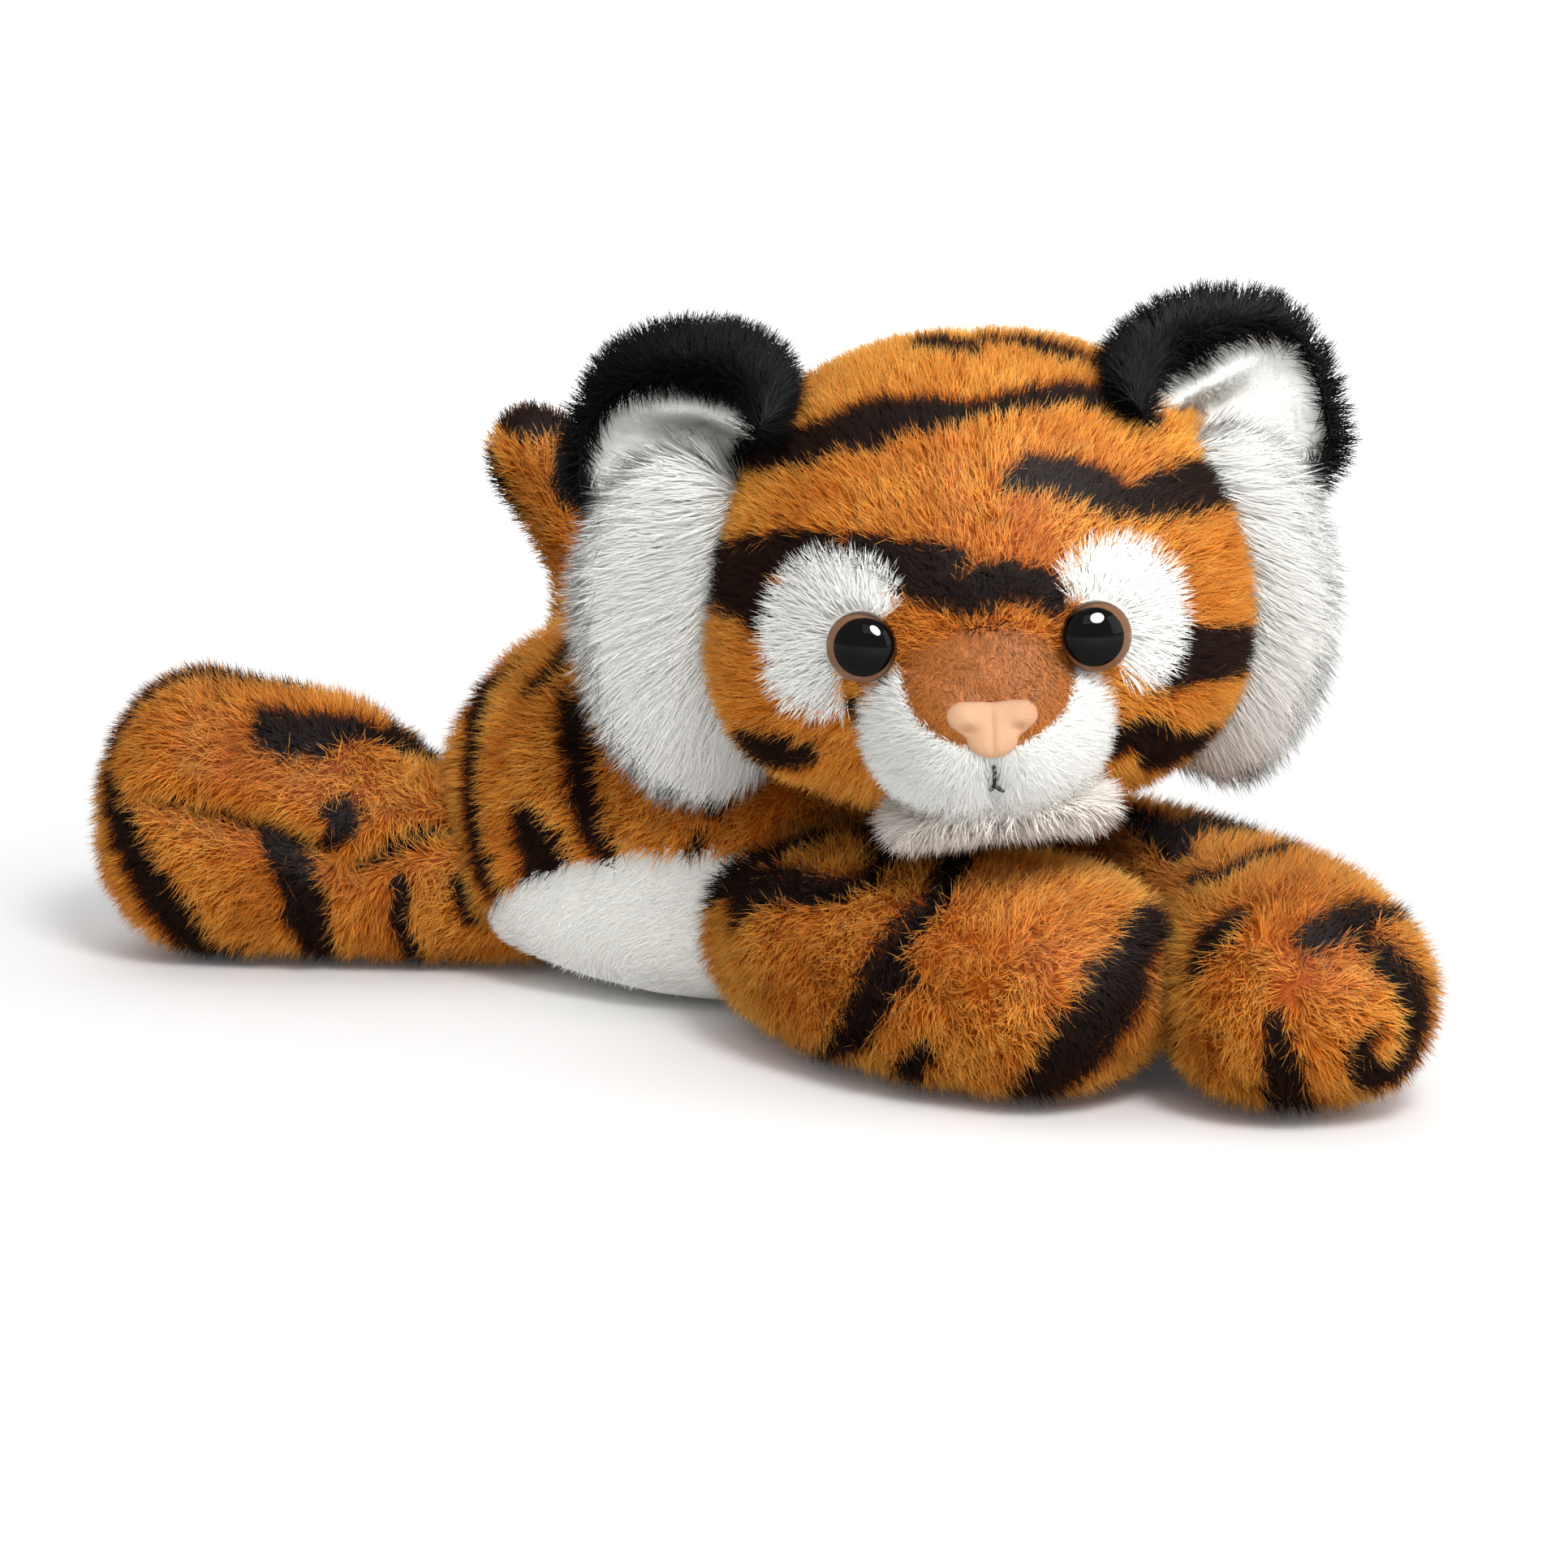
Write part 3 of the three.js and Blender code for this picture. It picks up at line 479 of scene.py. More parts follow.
def plain_pile(name, root, tip, roughness=0.7, gloss=0.25, tones=(0.94, 1.02)):
    """Polyester pile of one colour, whose hairs differ in brightness by tones. Each hair runs from its root
    colour to its tip colour, darker between the hairs than at their tips: painted shade. Pieces with a
    "cream" attribute of 1 are cream instead."""
    material, tree, shader = new_material(name, Roughness=roughness, Specular_IOR_Level=gloss)
    along = add_node(tree, "ShaderNodeAttribute", attribute_name="along").outputs["Fac"]
    tone = add_node(tree, "ShaderNodeAttribute", attribute_name="tone").outputs["Fac"]
    rise = add_node(tree, "ShaderNodeMapRange", {"Value": along, 2: 0.6}).outputs[0]
    colour = add_node(tree, "ShaderNodeMix", {0: rise, 6: linear(root), 7: linear(tip)}, data_type="RGBA")
    cream = add_node(tree, "ShaderNodeAttribute", attribute_name="cream").outputs["Fac"]
    warmer = add_node(tree, "ShaderNodeMix", {0: cream, 6: colour.outputs[2], 7: linear(CREAM)},
        data_type="RGBA")
    bright = add_node(tree, "ShaderNodeMapRange", {"Value": tone, 3: tones[0], 4: tones[1]}).outputs[0]
    shown = add_node(tree, "ShaderNodeVectorMath", {0: warmer.outputs[2], 3: bright}, operation="SCALE")
    tree.links.new(shown.outputs[0], shader.inputs["Base Color"])
    return material


def dress(piece, material, body, nodes=()):
    """Gives a piece its material, lets it ride a body, and puts it in place of CAD nodes."""
    piece.data.materials.append(material)
    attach(piece, body)
    if nodes:
        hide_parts(*nodes)
    return piece


def striped_values(rng, mask, rust):
    """Each hair's stripe at root and tip: by chance near a stripe's edge, and some tips are orange over a
    dark root. The rust is the same all along a hair."""
    chance = rng.random(len(mask))
    at_root = (mask > 0.03 + 0.5 * chance).astype(float)
    at_tip = (mask > 0.16 + 0.62 * chance).astype(float)
    return {"stripe": (at_root, at_tip), "rust": (rust, rust)}


orange_pile = striped_pile("striped orange pile")
short_white_pile = plain_pile("short white pile", WHITE_ROOT, WHITE_TIP)

TORSO_STRIPES = {  # each stroke's places and half widths, in the photograph's pixels
    "rump edge": [(657, 770, 8), (624, 815, 11), (602, 860, 14), (591, 930, 16), (591, 1005, 16),
                  (601, 1065, 15), (615, 1100, 9)],
    "waist": [(697, 845, 10), (708, 900, 17), (715, 950, 16), (722, 1000, 14), (742, 1045, 10),
              (765, 1068, 7)],
    "flank spot": [(645, 1016, 12), (663, 1032, 20), (676, 1058, 20), (668, 1084, 17), (655, 1100, 10)],
    "under the ruff": [(870, 975, 14), (888, 1000, 10)],
    "shoulder": [(848, 1058, 5), (868, 1040, 7)],
}

torso_skin = closed_skin("torso_cover", *lying_form(
    TORSO_STATIONS, TORSO_ROOT, TORSO_TIP, BODY_INSET, TORSO_SETTLE, rows=70, columns=120))


def torso_shape(points, normals):
    """Faint lumps of the stuffing, and the pellets' weight, which spreads the flanks low down."""
    _, y, z = (points / MM).T
    spread = 4.5 * np.exp(-((y + 8) / 38) ** 2 - ((z - 9) / 13) ** 2)
    return MM * (spread + 0.9 * lattice_noise(points, 24 * MM, 11) + 0.4 * lattice_noise(points, 9 * MM, 12))


push(torso_skin, torso_shape)
torso_lines = photo_lines(torso_skin, TORSO_STRIPES, spread=STRIPE_SPREAD)


def on_belly(points):
    """1 on the white panel: inside a long ellipsoid that lies along the toy's underside, with a soft edge."""
    x, y, z = (points / MM).T
    span = (x / BELLY["reach"]) ** 2 + ((y - BELLY["y"]) / BELLY["length"]) ** 2 + (z / BELLY["height"]) ** 2
    return 1 - smooth(np.sqrt(span) + 0.01 * lattice_noise(points, 3 * MM, 5), 0.985, 1.0)


def hoops(points, along, spacing, seed, share=0.1):
    """Stripes that run round a form: crests of a cosine along it, bent by one noise and broken by another."""
    bent = along / spacing + 0.55 * lattice_noise(points, 28 * MM, seed)
    bent += 0.2 * lattice_noise(points, 11 * MM, seed + 5)
    wave = np.cos(2 * math.pi * bent) + 0.9 * lattice_noise(points, 20 * MM, seed + 9)
    return smooth(wave, 0.55 - share, 0.85 - share)


def torso_mask(points, normals):
    """The photograph's strokes on the flank, and hoops over the top of the back and on the far side."""
    seen = seen_share(points, normals) * (1 - smooth(normals[:, 2], 0.72, 0.92))
    hidden = hoops(points, points[:, 1], spacing=31 * MM, seed=21)
    return seen * in_strokes(points, torso_lines) + (1 - seen) * hidden


def patchy(points, seed):
    """Patches of rust-coloured hairs, darker and redder than the orange: the crests of two noises."""
    noise = lattice_noise(points, 13 * MM, seed) + 0.4 * lattice_noise(points, 4 * MM, seed + 1)
    return 0.55 * smooth(noise, 0.25, 0.8)


def line_white(skin, inside):
    """Makes a skin white cloth, under white pile, on the faces where inside(points) holds."""
    skin.data.materials.append(white_depth)
    faces = np.empty((len(skin.data.polygons), 3), np.float32)
    skin.data.polygons.foreach_get("center", faces.ravel())
    skin.data.polygons.foreach_set("material_index", (inside(faces.astype(float)) > 0.5).astype(np.int32))


def paint_skin(skin, mask, seed):
    """Gives a skin the same stripes as the hairs that stand on it, in the dark colour near their roots, which
    is partly painted shade under the pile.
    """
    points, normals, _ = skin_arrays(skin)
    give(skin, stripe=mask(points, normals), rust=patchy(points, seed), along=0.12, tone=0.5)


def down_and(direction, wander, seed):
    """Pile that hangs down while it runs one way, with smooth changes of direction."""
    return lambda points: np.array(direction) + wander * drift(points, 21 * MM, seed)


paint_skin(torso_skin, torso_mask, 31)
white_depth = plain_pile("white backing", "#eeece4", "#eeece4")
torso_nodes = ("back_skin", "torso_stuffing", "belly_pellet_bag")
dress(torso_skin, orange_pile, "torso", torso_nodes)
line_white(torso_skin, on_belly)

HEAD_MIDDLE = np.array([-9.0, -82.0, 93.0]) * MM


def outside_head(points, reach=50):
    """True away from the middle of the head, inside which no hair of the torso ever shows."""
    return np.linalg.norm(points - HEAD_MIDDLE, axis=1) > reach * MM


def grow_striped(name, skin, way, mask, body, per_mm2, keep=None,
                 length=BODY_PILE, width=0.3, lift=42, mess=1.25, clump=2.0, seed=1):
    """Striped pile on a skin, in as many pieces as keep each below the faces that a piece may have. A hair
    takes its stripe from where its middle lies. The pile is thinner underneath and on the far side."""
    def thinned(points, normals):
        """The share of hairs that stays."""
        share = 0.74 + 0.26 * seen_share(points, normals) - 0.35 * smooth(-normals[:, 2], 0.7, 0.95)
        return share if keep is None else share * keep(points, normals)

    place, normal, rng = roots_on(skin, per_mm2, seed, thinned)
    lean = way(place)
    lifts = lift(place) if callable(lift) else np.full(len(place), float(lift))
    middle = place + along_skin(lean, normal) * length * MM * 0.45
    values = striped_values(rng, mask(middle, normal), patchy(middle, seed + 30))
    share = (len(place) * HAIR_FACES) // PIECE_FACES + 1
    part = np.arange(len(place)) * share // len(place)
    for number in range(share):
        mine = part == number
        kept = {key: (low[mine], high[mine]) for key, (low, high) in values.items()}
        ending = f"_{number + 1}" if share > 1 else ""
        made = hairs(name + ending, place[mine], normal[mine], lean[mine], rng, length, width, lifts[mine],
                     mess=mess, clump=clump, values=kept)
        dress(made, orange_pile, body)


back_way = down_and((0.0, 0.5, -0.9), wander=0.7, seed=41)
grow_striped("back_pile", torso_skin, back_way, torso_mask, "torso", per_mm2=3.2,
             keep=lambda p, n: (1 - on_belly(p)) * outside_head(p), seed=1)
place, normal, rng = roots_on(
    torso_skin, per_mm2=2.6, seed=2, keep=lambda p, n: on_belly(p) * (n[:, 2] > -0.8))
belly_way = down_and((-0.2, 0.6, -0.6), wander=0.6, seed=43)(place)
belly_pile = hairs("belly_pile", place, normal, belly_way, rng, BELLY_PILE, width=0.36, lift=24,
                   clump=1.6, soft=0.92, mess=0.6, tufted=0.5)
dress(belly_pile, short_white_pile, "torso", ("belly_panel",))

# The limbs: striped pile tubes that swell to round feet, loosely filled with fibre at the root
# and with a bag of pellets in the paw. They are sewn to the torso at the shoulders and hips.
LIMB_INSET = 3.4
LIMB_PILE = 6.0
ARM_RIGHT_STATIONS = [(-25, -51, 50, 46), (-32, -74, 54, 47.5), (-31, -98, 58, 48.5), (-24, -118, 60, 48.5)]
ARM_LEFT_STATIONS = [(29, -51, 50, 46), (33, -86, 49, 46.5), (24, -128, 51, 47.5), (6, -160, 55, 48.5)]
LEG_RIGHT_STATIONS = [(-35, 38, 46, 40), (-52, 52, 44, 43), (-69, 69, 50, 57), (-84, 87, 55, 64.5)]
LEG_LEFT_STATIONS = [(-x, y, width, height) for x, y, width, height in LEG_RIGHT_STATIONS]
LIMB_SIZES = {  # stations, root length and tip length
    "arm_right": (ARM_RIGHT_STATIONS, 25, 29),
    "arm_left": (ARM_LEFT_STATIONS, 25, 28),
    "leg_right": (LEG_RIGHT_STATIONS, 23, 25),
    "leg_left": (LEG_LEFT_STATIONS, 23, 25),
}
LIMB_STRIPES = {  # as the torso's, in the photograph's pixels
    "arm_right": {
        "shoulder loop": [(872, 1105, 18), (905, 1092, 22), (945, 1072, 20), (985, 1052, 17),
                          (1020, 1040, 13), (1060, 1036, 11), (1088, 1056, 12), (1085, 1082, 13),
                          (1055, 1098, 13), (1020, 1104, 14), (975, 1100, 18), (925, 1104, 20)],
        "long diagonal": [(1236, 1036, 8), (1211, 1049, 14), (1180, 1080, 14), (1161, 1112, 12),
                          (1129, 1143, 14), (1111, 1174, 17), (1092, 1212, 20), (1079, 1243, 18),
                          (1048, 1281, 12), (998, 1296, 9)],
        "branch": [(1105, 1215, 10), (1138, 1211, 5)],
        "outer diagonal": [(1461, 1099, 10), (1443, 1130, 16), (1411, 1155, 16), (1393, 1187, 18),
                           (1374, 1218, 24), (1355, 1256, 27), (1324, 1293, 27), (1292, 1325, 22),
                           (1248, 1350, 14), (1217, 1356, 8)],
        "toe": [(1148, 1293, 10), (1129, 1312, 12), (1098, 1337, 11), (1079, 1343, 6)],
    },
    "arm_left": {
        "shoulder": [(1395, 1015, 12), (1425, 1030, 15), (1455, 1052, 14), (1470, 1068, 8)],
        "upper shoulder": [(1470, 1035, 20), (1510, 1022, 26), (1548, 1032, 22), (1578, 1044, 10)],
        "wrist": [(1471, 1093, 8), (1505, 1093, 12), (1543, 1074, 12), (1580, 1061, 9), (1612, 1058, 5)],
        "inner": [(1530, 1140, 8), (1512, 1152, 11), (1487, 1176, 12), (1474, 1208, 8)],
        "outer arc": [(1618, 1168, 12), (1650, 1149, 14), (1681, 1134, 12), (1712, 1137, 9),
                      (1737, 1155, 9), (1756, 1187, 9), (1762, 1230, 8)],
        "curl": [(1681, 1168, 10), (1706, 1193, 14), (1731, 1231, 17), (1737, 1268, 17), (1718, 1306, 16),
                 (1687, 1318, 13), (1675, 1293, 9), (1693, 1274, 7)],
        "toe": [(1574, 1262, 7), (1581, 1306, 13), (1593, 1343, 17), (1612, 1368, 14)],
        "side": [(1462, 1281, 6), (1471, 1318, 5)],
    },
    "leg_right": {
        "top edge": [(140, 932, 11), (170, 882, 12), (200, 852, 12), (248, 832, 12), (300, 824, 12),
                     (364, 832, 11)],
        "thigh": [(328, 893, 16), (352, 906, 26), (384, 902, 26), (418, 899, 19), (455, 904, 17),
                  (495, 921, 15), (545, 948, 13)],
        "heel": [(143, 968, 12), (150, 1005, 15), (164, 1047, 17), (190, 1095, 18), (221, 1137, 19),
                 (258, 1166, 17), (285, 1176, 12)],
        "middle": [(318, 1012, 9), (348, 1058, 15), (364, 1095, 18), (377, 1137, 18), (406, 1179, 15)],
        "knee": [(398, 1003, 6), (420, 1008, 14), (412, 1028, 11), (392, 1036, 5)],
        "hip arc": [(440, 1070, 6), (470, 1052, 9), (495, 1040, 9), (530, 1031, 9), (560, 1030, 8)],
        "shin": [(495, 1095, 8), (490, 1137, 9), (506, 1168, 9)],
        "hip": [(565, 1095, 10), (580, 1115, 14)],
        "crease": [(195, 987, 3), (248, 997, 5), (295, 1010, 9), (353, 1026, 9), (395, 1045, 4)],
    },
    "leg_left": {},
}
LIMB_WHORLS = {"arm_right": (1262, 1192), "arm_left": (1595, 1185)}  # where the paw's pile turns outwards
LIMB_CREASES = {  # where the slack cover folds in, with half widths in pixels
    "leg_right": {
        "long crease": [(185, 985, 14), (248, 997, 17), (295, 1010, 18), (353, 1026, 17), (400, 1047, 14)],
        "hip crease": [(440, 1066, 12), (490, 1039, 16), (527, 1026, 16), (565, 1024, 14)],
    },
}
CREASE_DEPTH = 5.5
LIMB_RISES = {"leg_right": (462, 905, 6.5, 21)}  # the thigh's full place: pixel, height and reach in mm
WHORL_REACH = 14


def photo_spot(skin, x, y):
    """The place on a skin that the photograph shows at a pixel."""
    return photo_lines(skin, {"spot": [(x, y, 1), (x, y, 1)]}, 1)[0, :3]


def nearness(points, spot, reach):
    """1 at a spot, falling away smoothly over reach millimetres."""
    return np.exp(-((np.linalg.norm(points - spot, axis=1) / (reach * MM)) ** 2))


def sew_limb(limb, number, stations, root, tip):
    """A limb's cover with its lumps, full place and creases, its stripes, and its pile. The pile runs down
    and towards the paw, and turns outwards round the paw's whorl, where it stands up."""
    skin = closed_skin(f"{limb}_cover", *lying_form(
        stations, root, tip, LIMB_INSET, LIMB_SETTLE, rows=60, columns=76))
    push(skin, lambda p, n: 0.8 * MM * lattice_noise(p, 20 * MM, 50 + number)
         + 0.35 * MM * lattice_noise(p, 8 * MM, 60 + number))
    if limb in LIMB_RISES:
        x, y, rise, reach = LIMB_RISES[limb]
        top = photo_spot(skin, x, y)
        push(skin, lambda p, n: rise * MM * nearness(p, top, reach))
    if limb in LIMB_CREASES:
        creases = photo_lines(skin, LIMB_CREASES[limb])
        push(skin, lambda p, n: -CREASE_DEPTH * MM * in_strokes(p, creases, ragged=0.05, soft=0.6)
             * seen_share(p, n))
    lines = photo_lines(skin, LIMB_STRIPES[limb], spread=STRIPE_SPREAD) if LIMB_STRIPES[limb] else None
    start, end = np.array(stations[0][:2]) * MM, np.array(stations[-1][:2]) * MM
    heading = np.append(unit(end - start), 0.0)

    def limb_mask(points, normals):
        """The photograph's strokes where it sees the limb, and hoops along the rest of it."""
        hidden = hoops(points, points @ heading, spacing=24 * MM, seed=70 + number)
        if lines is None:
            return hidden
        seen = seen_share(points, normals)
        return seen * in_strokes(points, lines) + (1 - seen) * hidden

    whorl = photo_spot(skin, *LIMB_WHORLS[limb]) if limb in LIMB_WHORLS else None

    def near_whorl(points):
        """1 at the paw's whorl, falling away smoothly, and 0 on a limb that has none."""
        return np.zeros(len(points)) if whorl is None else nearness(points, whorl, WHORL_REACH)

    def limb_way(points):
        """Down and along the limb, blended near the whorl with the way out from it."""
        way = 0.8 * heading + np.array([0, 0, -0.55]) + 0.8 * drift(points, 17 * MM, 80 + 3 * number)
        if whorl is not None:
            apart = points - whorl
            near = near_whorl(points)[:, None]
            way = way * (1 - 0.6 * near) + 0.5 * near * unit(apart)
            way += 1.6 * near * drift(points, 4 * MM, 84 + number)
        return way

    paint_skin(skin, limb_mask, 90 + number)
    parts = [f"{limb}_skin", f"{limb}_stuffing", f"{limb}_pellet_bag"]
    dress(skin, orange_pile, limb, parts)
    grow_striped(f"{limb}_pile", skin, limb_way, limb_mask, limb, per_mm2=3.3, length=LIMB_PILE,
                 lift=lambda p: 42 + 12 * near_whorl(p), seed=100 + number)


for number, (limb, sizes) in enumerate(LIMB_SIZES.items()):
    sew_limb(limb, number, *sizes)

# The tail: a slim striped pile tube, stuffed with fibre, that stands up from the rump and curls
# over a little. It is sewn to the torso round its root.
TAIL_POINTS = [(5, 55, 38), (10, 66, 58), (12, 71, 80), (2, 79, 102)]
TAIL_RADIUS = 12
TAIL_TIP = 13
TAIL_INSET = 3.2
TAIL_PILE = 6.2
TAIL_STRIPES = {
    "tip": [(648, 516, 18), (688, 522, 20)],
    "outer": [(600, 578, 17), (612, 606, 15), (628, 636, 7)],
    "inner": [(692, 562, 14), (702, 600, 12)],
}


def round_rings(middle, side, other, size, columns):
    """Circles of these sizes about the middles: side times an angle's cosine plus other times its sine."""
    angle = np.linspace(0, 2 * math.pi, columns, endpoint=False)
    ring = side[:, None, :] * np.cos(angle)[None, :, None] + other[:, None, :] * np.sin(angle)[None, :, None]
    return middle[:, None, :] + ring * size[:, None, None]


def standing_tube(points, radius, tip, rows, columns):
    """Rings of one radius across a curve, closed by a half ball at the root and a half oval at the tip."""
    t, ahead, shrink = capped(rows, rows // 4, radius, tip)
    heading = course(points, t)
    middle = through(points, t) + heading * ahead[:, None]
    side = unit(np.array([1.0, 0, 0]) - heading * heading[:, :1])
    rings = round_rings(middle, side, np.cross(side, heading), radius * shrink, columns)
    first = through(points, np.zeros(1))[0] - heading[0] * radius
    last = through(points, np.ones(1))[0] + heading[-1] * tip
    return rings * MM, first * MM, last * MM


tail_skin = closed_skin("tail_cover", *standing_tube(
    TAIL_POINTS, TAIL_RADIUS - TAIL_INSET, TAIL_TIP - TAIL_INSET, rows=50, columns=40))
tail_lines = photo_lines(tail_skin, TAIL_STRIPES, spread=STRIPE_SPREAD)


def tail_mask(points, normals):
    """The photograph's strokes where it sees the tail, and hoops up the rest of it."""
    seen = seen_share(points, normals)
    hidden = hoops(points, points[:, 2], spacing=21 * MM, seed=97, share=0.2)
    return seen * in_strokes(points, tail_lines) + (1 - seen) * hidden


paint_skin(tail_skin, tail_mask, 98)
dress(tail_skin, orange_pile, "tail", ("tail_skin", "tail_stuffing"))
tail_way = down_and((0.0, 0.1, 1.0), wander=0.5, seed=99)
grow_striped("tail_pile", tail_skin, tail_way, tail_mask, "tail", per_mm2=3.8, length=TAIL_PILE, lift=40,
             seed=120)

# The head: a big round ball of striped pile, firmly stuffed, turned to the toy's right and
# leaning a little over one cheek. White patches of longer pile are let in round the eyes.
HEAD_RADIUS, HEAD_UP, HEAD_DOWN, HEAD_FULLNESS = 57.5, 55.5, 44.0, 0.88
HEAD_TURN, HEAD_TILT = -42, -3
HEAD_INSET = 3.6
HEAD_PILE = 5.0
EYE_PLACE = (22.5, -52.9, 1.6)
PATCH_REACH = 9.5  # the white lies at least this far round an eye's upper and outer side
CHEEK, FULL_CHEEK = (38, -34, -16), (-44, -22, -18)  # both cheeks, and the right one's hanging side
EYE_PATCHES = {
    "right": [(1078, 738, 22), (1035, 736, 32), (1003, 752, 38), (988, 790, 36), (1000, 828, 32),
              (1030, 848, 15)],
    "left": [(1332, 722, 18), (1365, 712, 26), (1400, 725, 32), (1412, 765, 32), (1408, 798, 28),
             (1388, 815, 12)],
}
HEAD_STRIPES = {
    "crown right": [(1145, 430, 15), (1175, 435, 18), (1200, 442, 10)],
    "crown left": [(1210, 429, 13), (1250, 431, 18), (1290, 438, 18), (1325, 448, 14), (1350, 457, 9)],
    "forehead": [(905, 572, 16), (920, 568, 19), (960, 558, 19), (1000, 550, 21), (1040, 532, 23),
                 (1080, 522, 24), (1120, 514, 21), (1160, 512, 16), (1184, 511, 11), (1224, 504, 10),
                 (1256, 498, 12), (1288, 493, 13), (1320, 491, 14), (1360, 494, 15), (1392, 508, 16),
                 (1412, 518, 12)],
    "temple": [(1240, 598, 4), (1265, 583, 13), (1310, 587, 17), (1350, 600, 18), (1390, 613, 13),
               (1435, 607, 20), (1475, 598, 22), (1492, 600, 20)],
    "brow": [(880, 705, 24), (920, 715, 32), (945, 745, 22)],
    "right brow": [(930, 690, 22), (990, 678, 16), (1040, 676, 12), (1090, 688, 19), (1140, 690, 17),
                   (1182, 685, 9)],
    "between the eyes": [(1118, 718, 11), (1165, 725, 14), (1200, 722, 17), (1240, 714, 15),
                         (1280, 718, 14), (1302, 733, 12)],
    "bridge": [(1185, 772, 3), (1220, 772, 4), (1256, 772, 3)],
    "right cheek": [(882, 893, 10), (905, 907, 17), (940, 917, 20), (975, 922, 17), (1004, 921, 7)],
    "beside the muzzle": [(1050, 862, 6), (1060, 885, 6)],
    "left cheek": [(1445, 802, 28), (1490, 802, 23), (1530, 797, 21), (1552, 790, 18)],
    "left jaw": [(1362, 928, 6), (1385, 903, 15), (1415, 905, 17), (1440, 920, 21), (1475, 903, 17),
                 (1508, 884, 8)],
}

SIDE_SHIFT = -5  # the ears and ruffs sit nearer the toy's right than the face does
RUFF = dict(x=52, y=-3, z=-1.5, half=(19.5, 7, 33.5), lean=0.3)

turn, tilt = math.radians(HEAD_TURN), math.radians(HEAD_TILT)
face_axes = np.array(Matrix.Rotation(turn, 3, "Z") @ Matrix.Rotation(tilt, 3, "Y"))
MUZZLE_COVERS = dict(middle=(1.2, -15.0), half=(20.5, 17.5), front=-30)  # the head's part under the muzzle


def to_face(points):
    """Places in millimetres from the head's middle: x to the toy's left, y backwards and z up."""
    return (points - HEAD_MIDDLE) @ face_axes / MM


def from_face(places):
    """Places of the face as points of the frame, in metres."""
    return np.asarray(places, float) * MM @ face_axes.T + HEAD_MIDDLE


def ball_rings(reach, level, columns):
    """Level circles with these radii at these heights."""
    turn = np.linspace(0, 2 * math.pi, columns, endpoint=False)
    flat = [reach[:, None] * np.cos(turn), reach[:, None] * np.sin(turn)]
    return np.stack([*flat, np.repeat(level[:, None], columns, axis=1)], axis=-1)


def head_form(inset, rows, columns):
    """A ball with fuller sides than a circle's: the height angle's cosine and sine, each to one power."""
    angle = np.linspace(-math.pi / 2, math.pi / 2, rows + 2)[1:-1]
    reach = (HEAD_RADIUS - inset) * np.cos(angle) ** HEAD_FULLNESS
    tall = np.where(angle < 0, HEAD_DOWN, HEAD_UP) - inset
    level = tall * np.sign(np.sin(angle)) * np.abs(np.sin(angle)) ** HEAD_FULLNESS
    ends = np.array([[0, 0, -HEAD_DOWN + inset], [0, 0, HEAD_UP - inset]]) * MM + HEAD_MIDDLE
    return ball_rings(reach, level, columns) * MM + HEAD_MIDDLE, ends[0], ends[1]


def bump(places, middle, size):
    """1 at a place of the face, falling away smoothly over size millimetres."""
    return np.exp(-(((places - np.array(middle)) / size) ** 2).sum(1))


def head_shape(points, normals):
    """Cloth drawn up to the eyes, full cheeks and a faint seam down the forehead."""
    places = to_face(points)
    mirrored = places * np.array([-1, 1, 1])
    height = 0.8 * lattice_noise(points, 22 * MM, 131) + 0.3 * lattice_noise(points, 8 * MM, 132)
    for side in (places, mirrored):
        height += 1.6 * bump(side, EYE_PLACE, 9.0)
        height += 1.5 * bump(side, CHEEK, 17.0)
    height += 3.5 * bump(places, FULL_CHEEK, 17.0)
    height -= 0.9 * np.exp(-((places[:, 0] / 2.5) ** 2)) * smooth(places[:, 2], 10, 30)
    return height * MM


head_skin = closed_skin("head_cover", *head_form(HEAD_INSET, rows=84, columns=132))
push(head_skin, head_shape)
head_lines = photo_lines(head_skin, HEAD_STRIPES, spread=STRIPE_SPREAD)


def head_mask(points, normals):
    """The photograph's strokes on the face, and level bands that droop to the sides behind."""
    places = to_face(points)
    seen = seen_share(points, normals)
    drooping = places[:, 2] * MM + 0.35 * np.abs(places[:, 0]) * MM
    hidden = hoops(points, drooping, spacing=25 * MM, seed=133)
    return seen * in_strokes(points, head_lines) + (1 - seen) * hidden


patch_lines = photo_lines(head_skin, EYE_PATCHES)


def in_patch(points):
    """1 inside a white eye patch: a crescent round the upper and outer side of each eye, up to its edge."""
    places = to_face(points)
    out, up = np.abs(places[:, 0]) - EYE_PLACE[0], places[:, 2] - EYE_PLACE[2]
    beside = (np.hypot(out, up) < PATCH_REACH) & (0.85 * out + 0.5 * up > 0)
    return ((in_strokes(points, patch_lines, ragged=0.08) > 0.5) | beside) * (places[:, 1] < 0)


def off_eye(points, radius=6.2):
    """1 away from the eyes, where pile may stand."""
    places = to_face(points)
    places[:, 0] = np.abs(places[:, 0])
    apart = np.linalg.norm((places - EYE_PLACE)[:, [0, 2]], axis=1)
    return smooth(apart + 30 * (places[:, 1] > 0), radius, radius + 0.6)


def at_side(side, place):
    """The middle of a piece that sits at one side of the head."""
    return np.array([side * place["x"] + SIDE_SHIFT, place["y"], place["z"]])


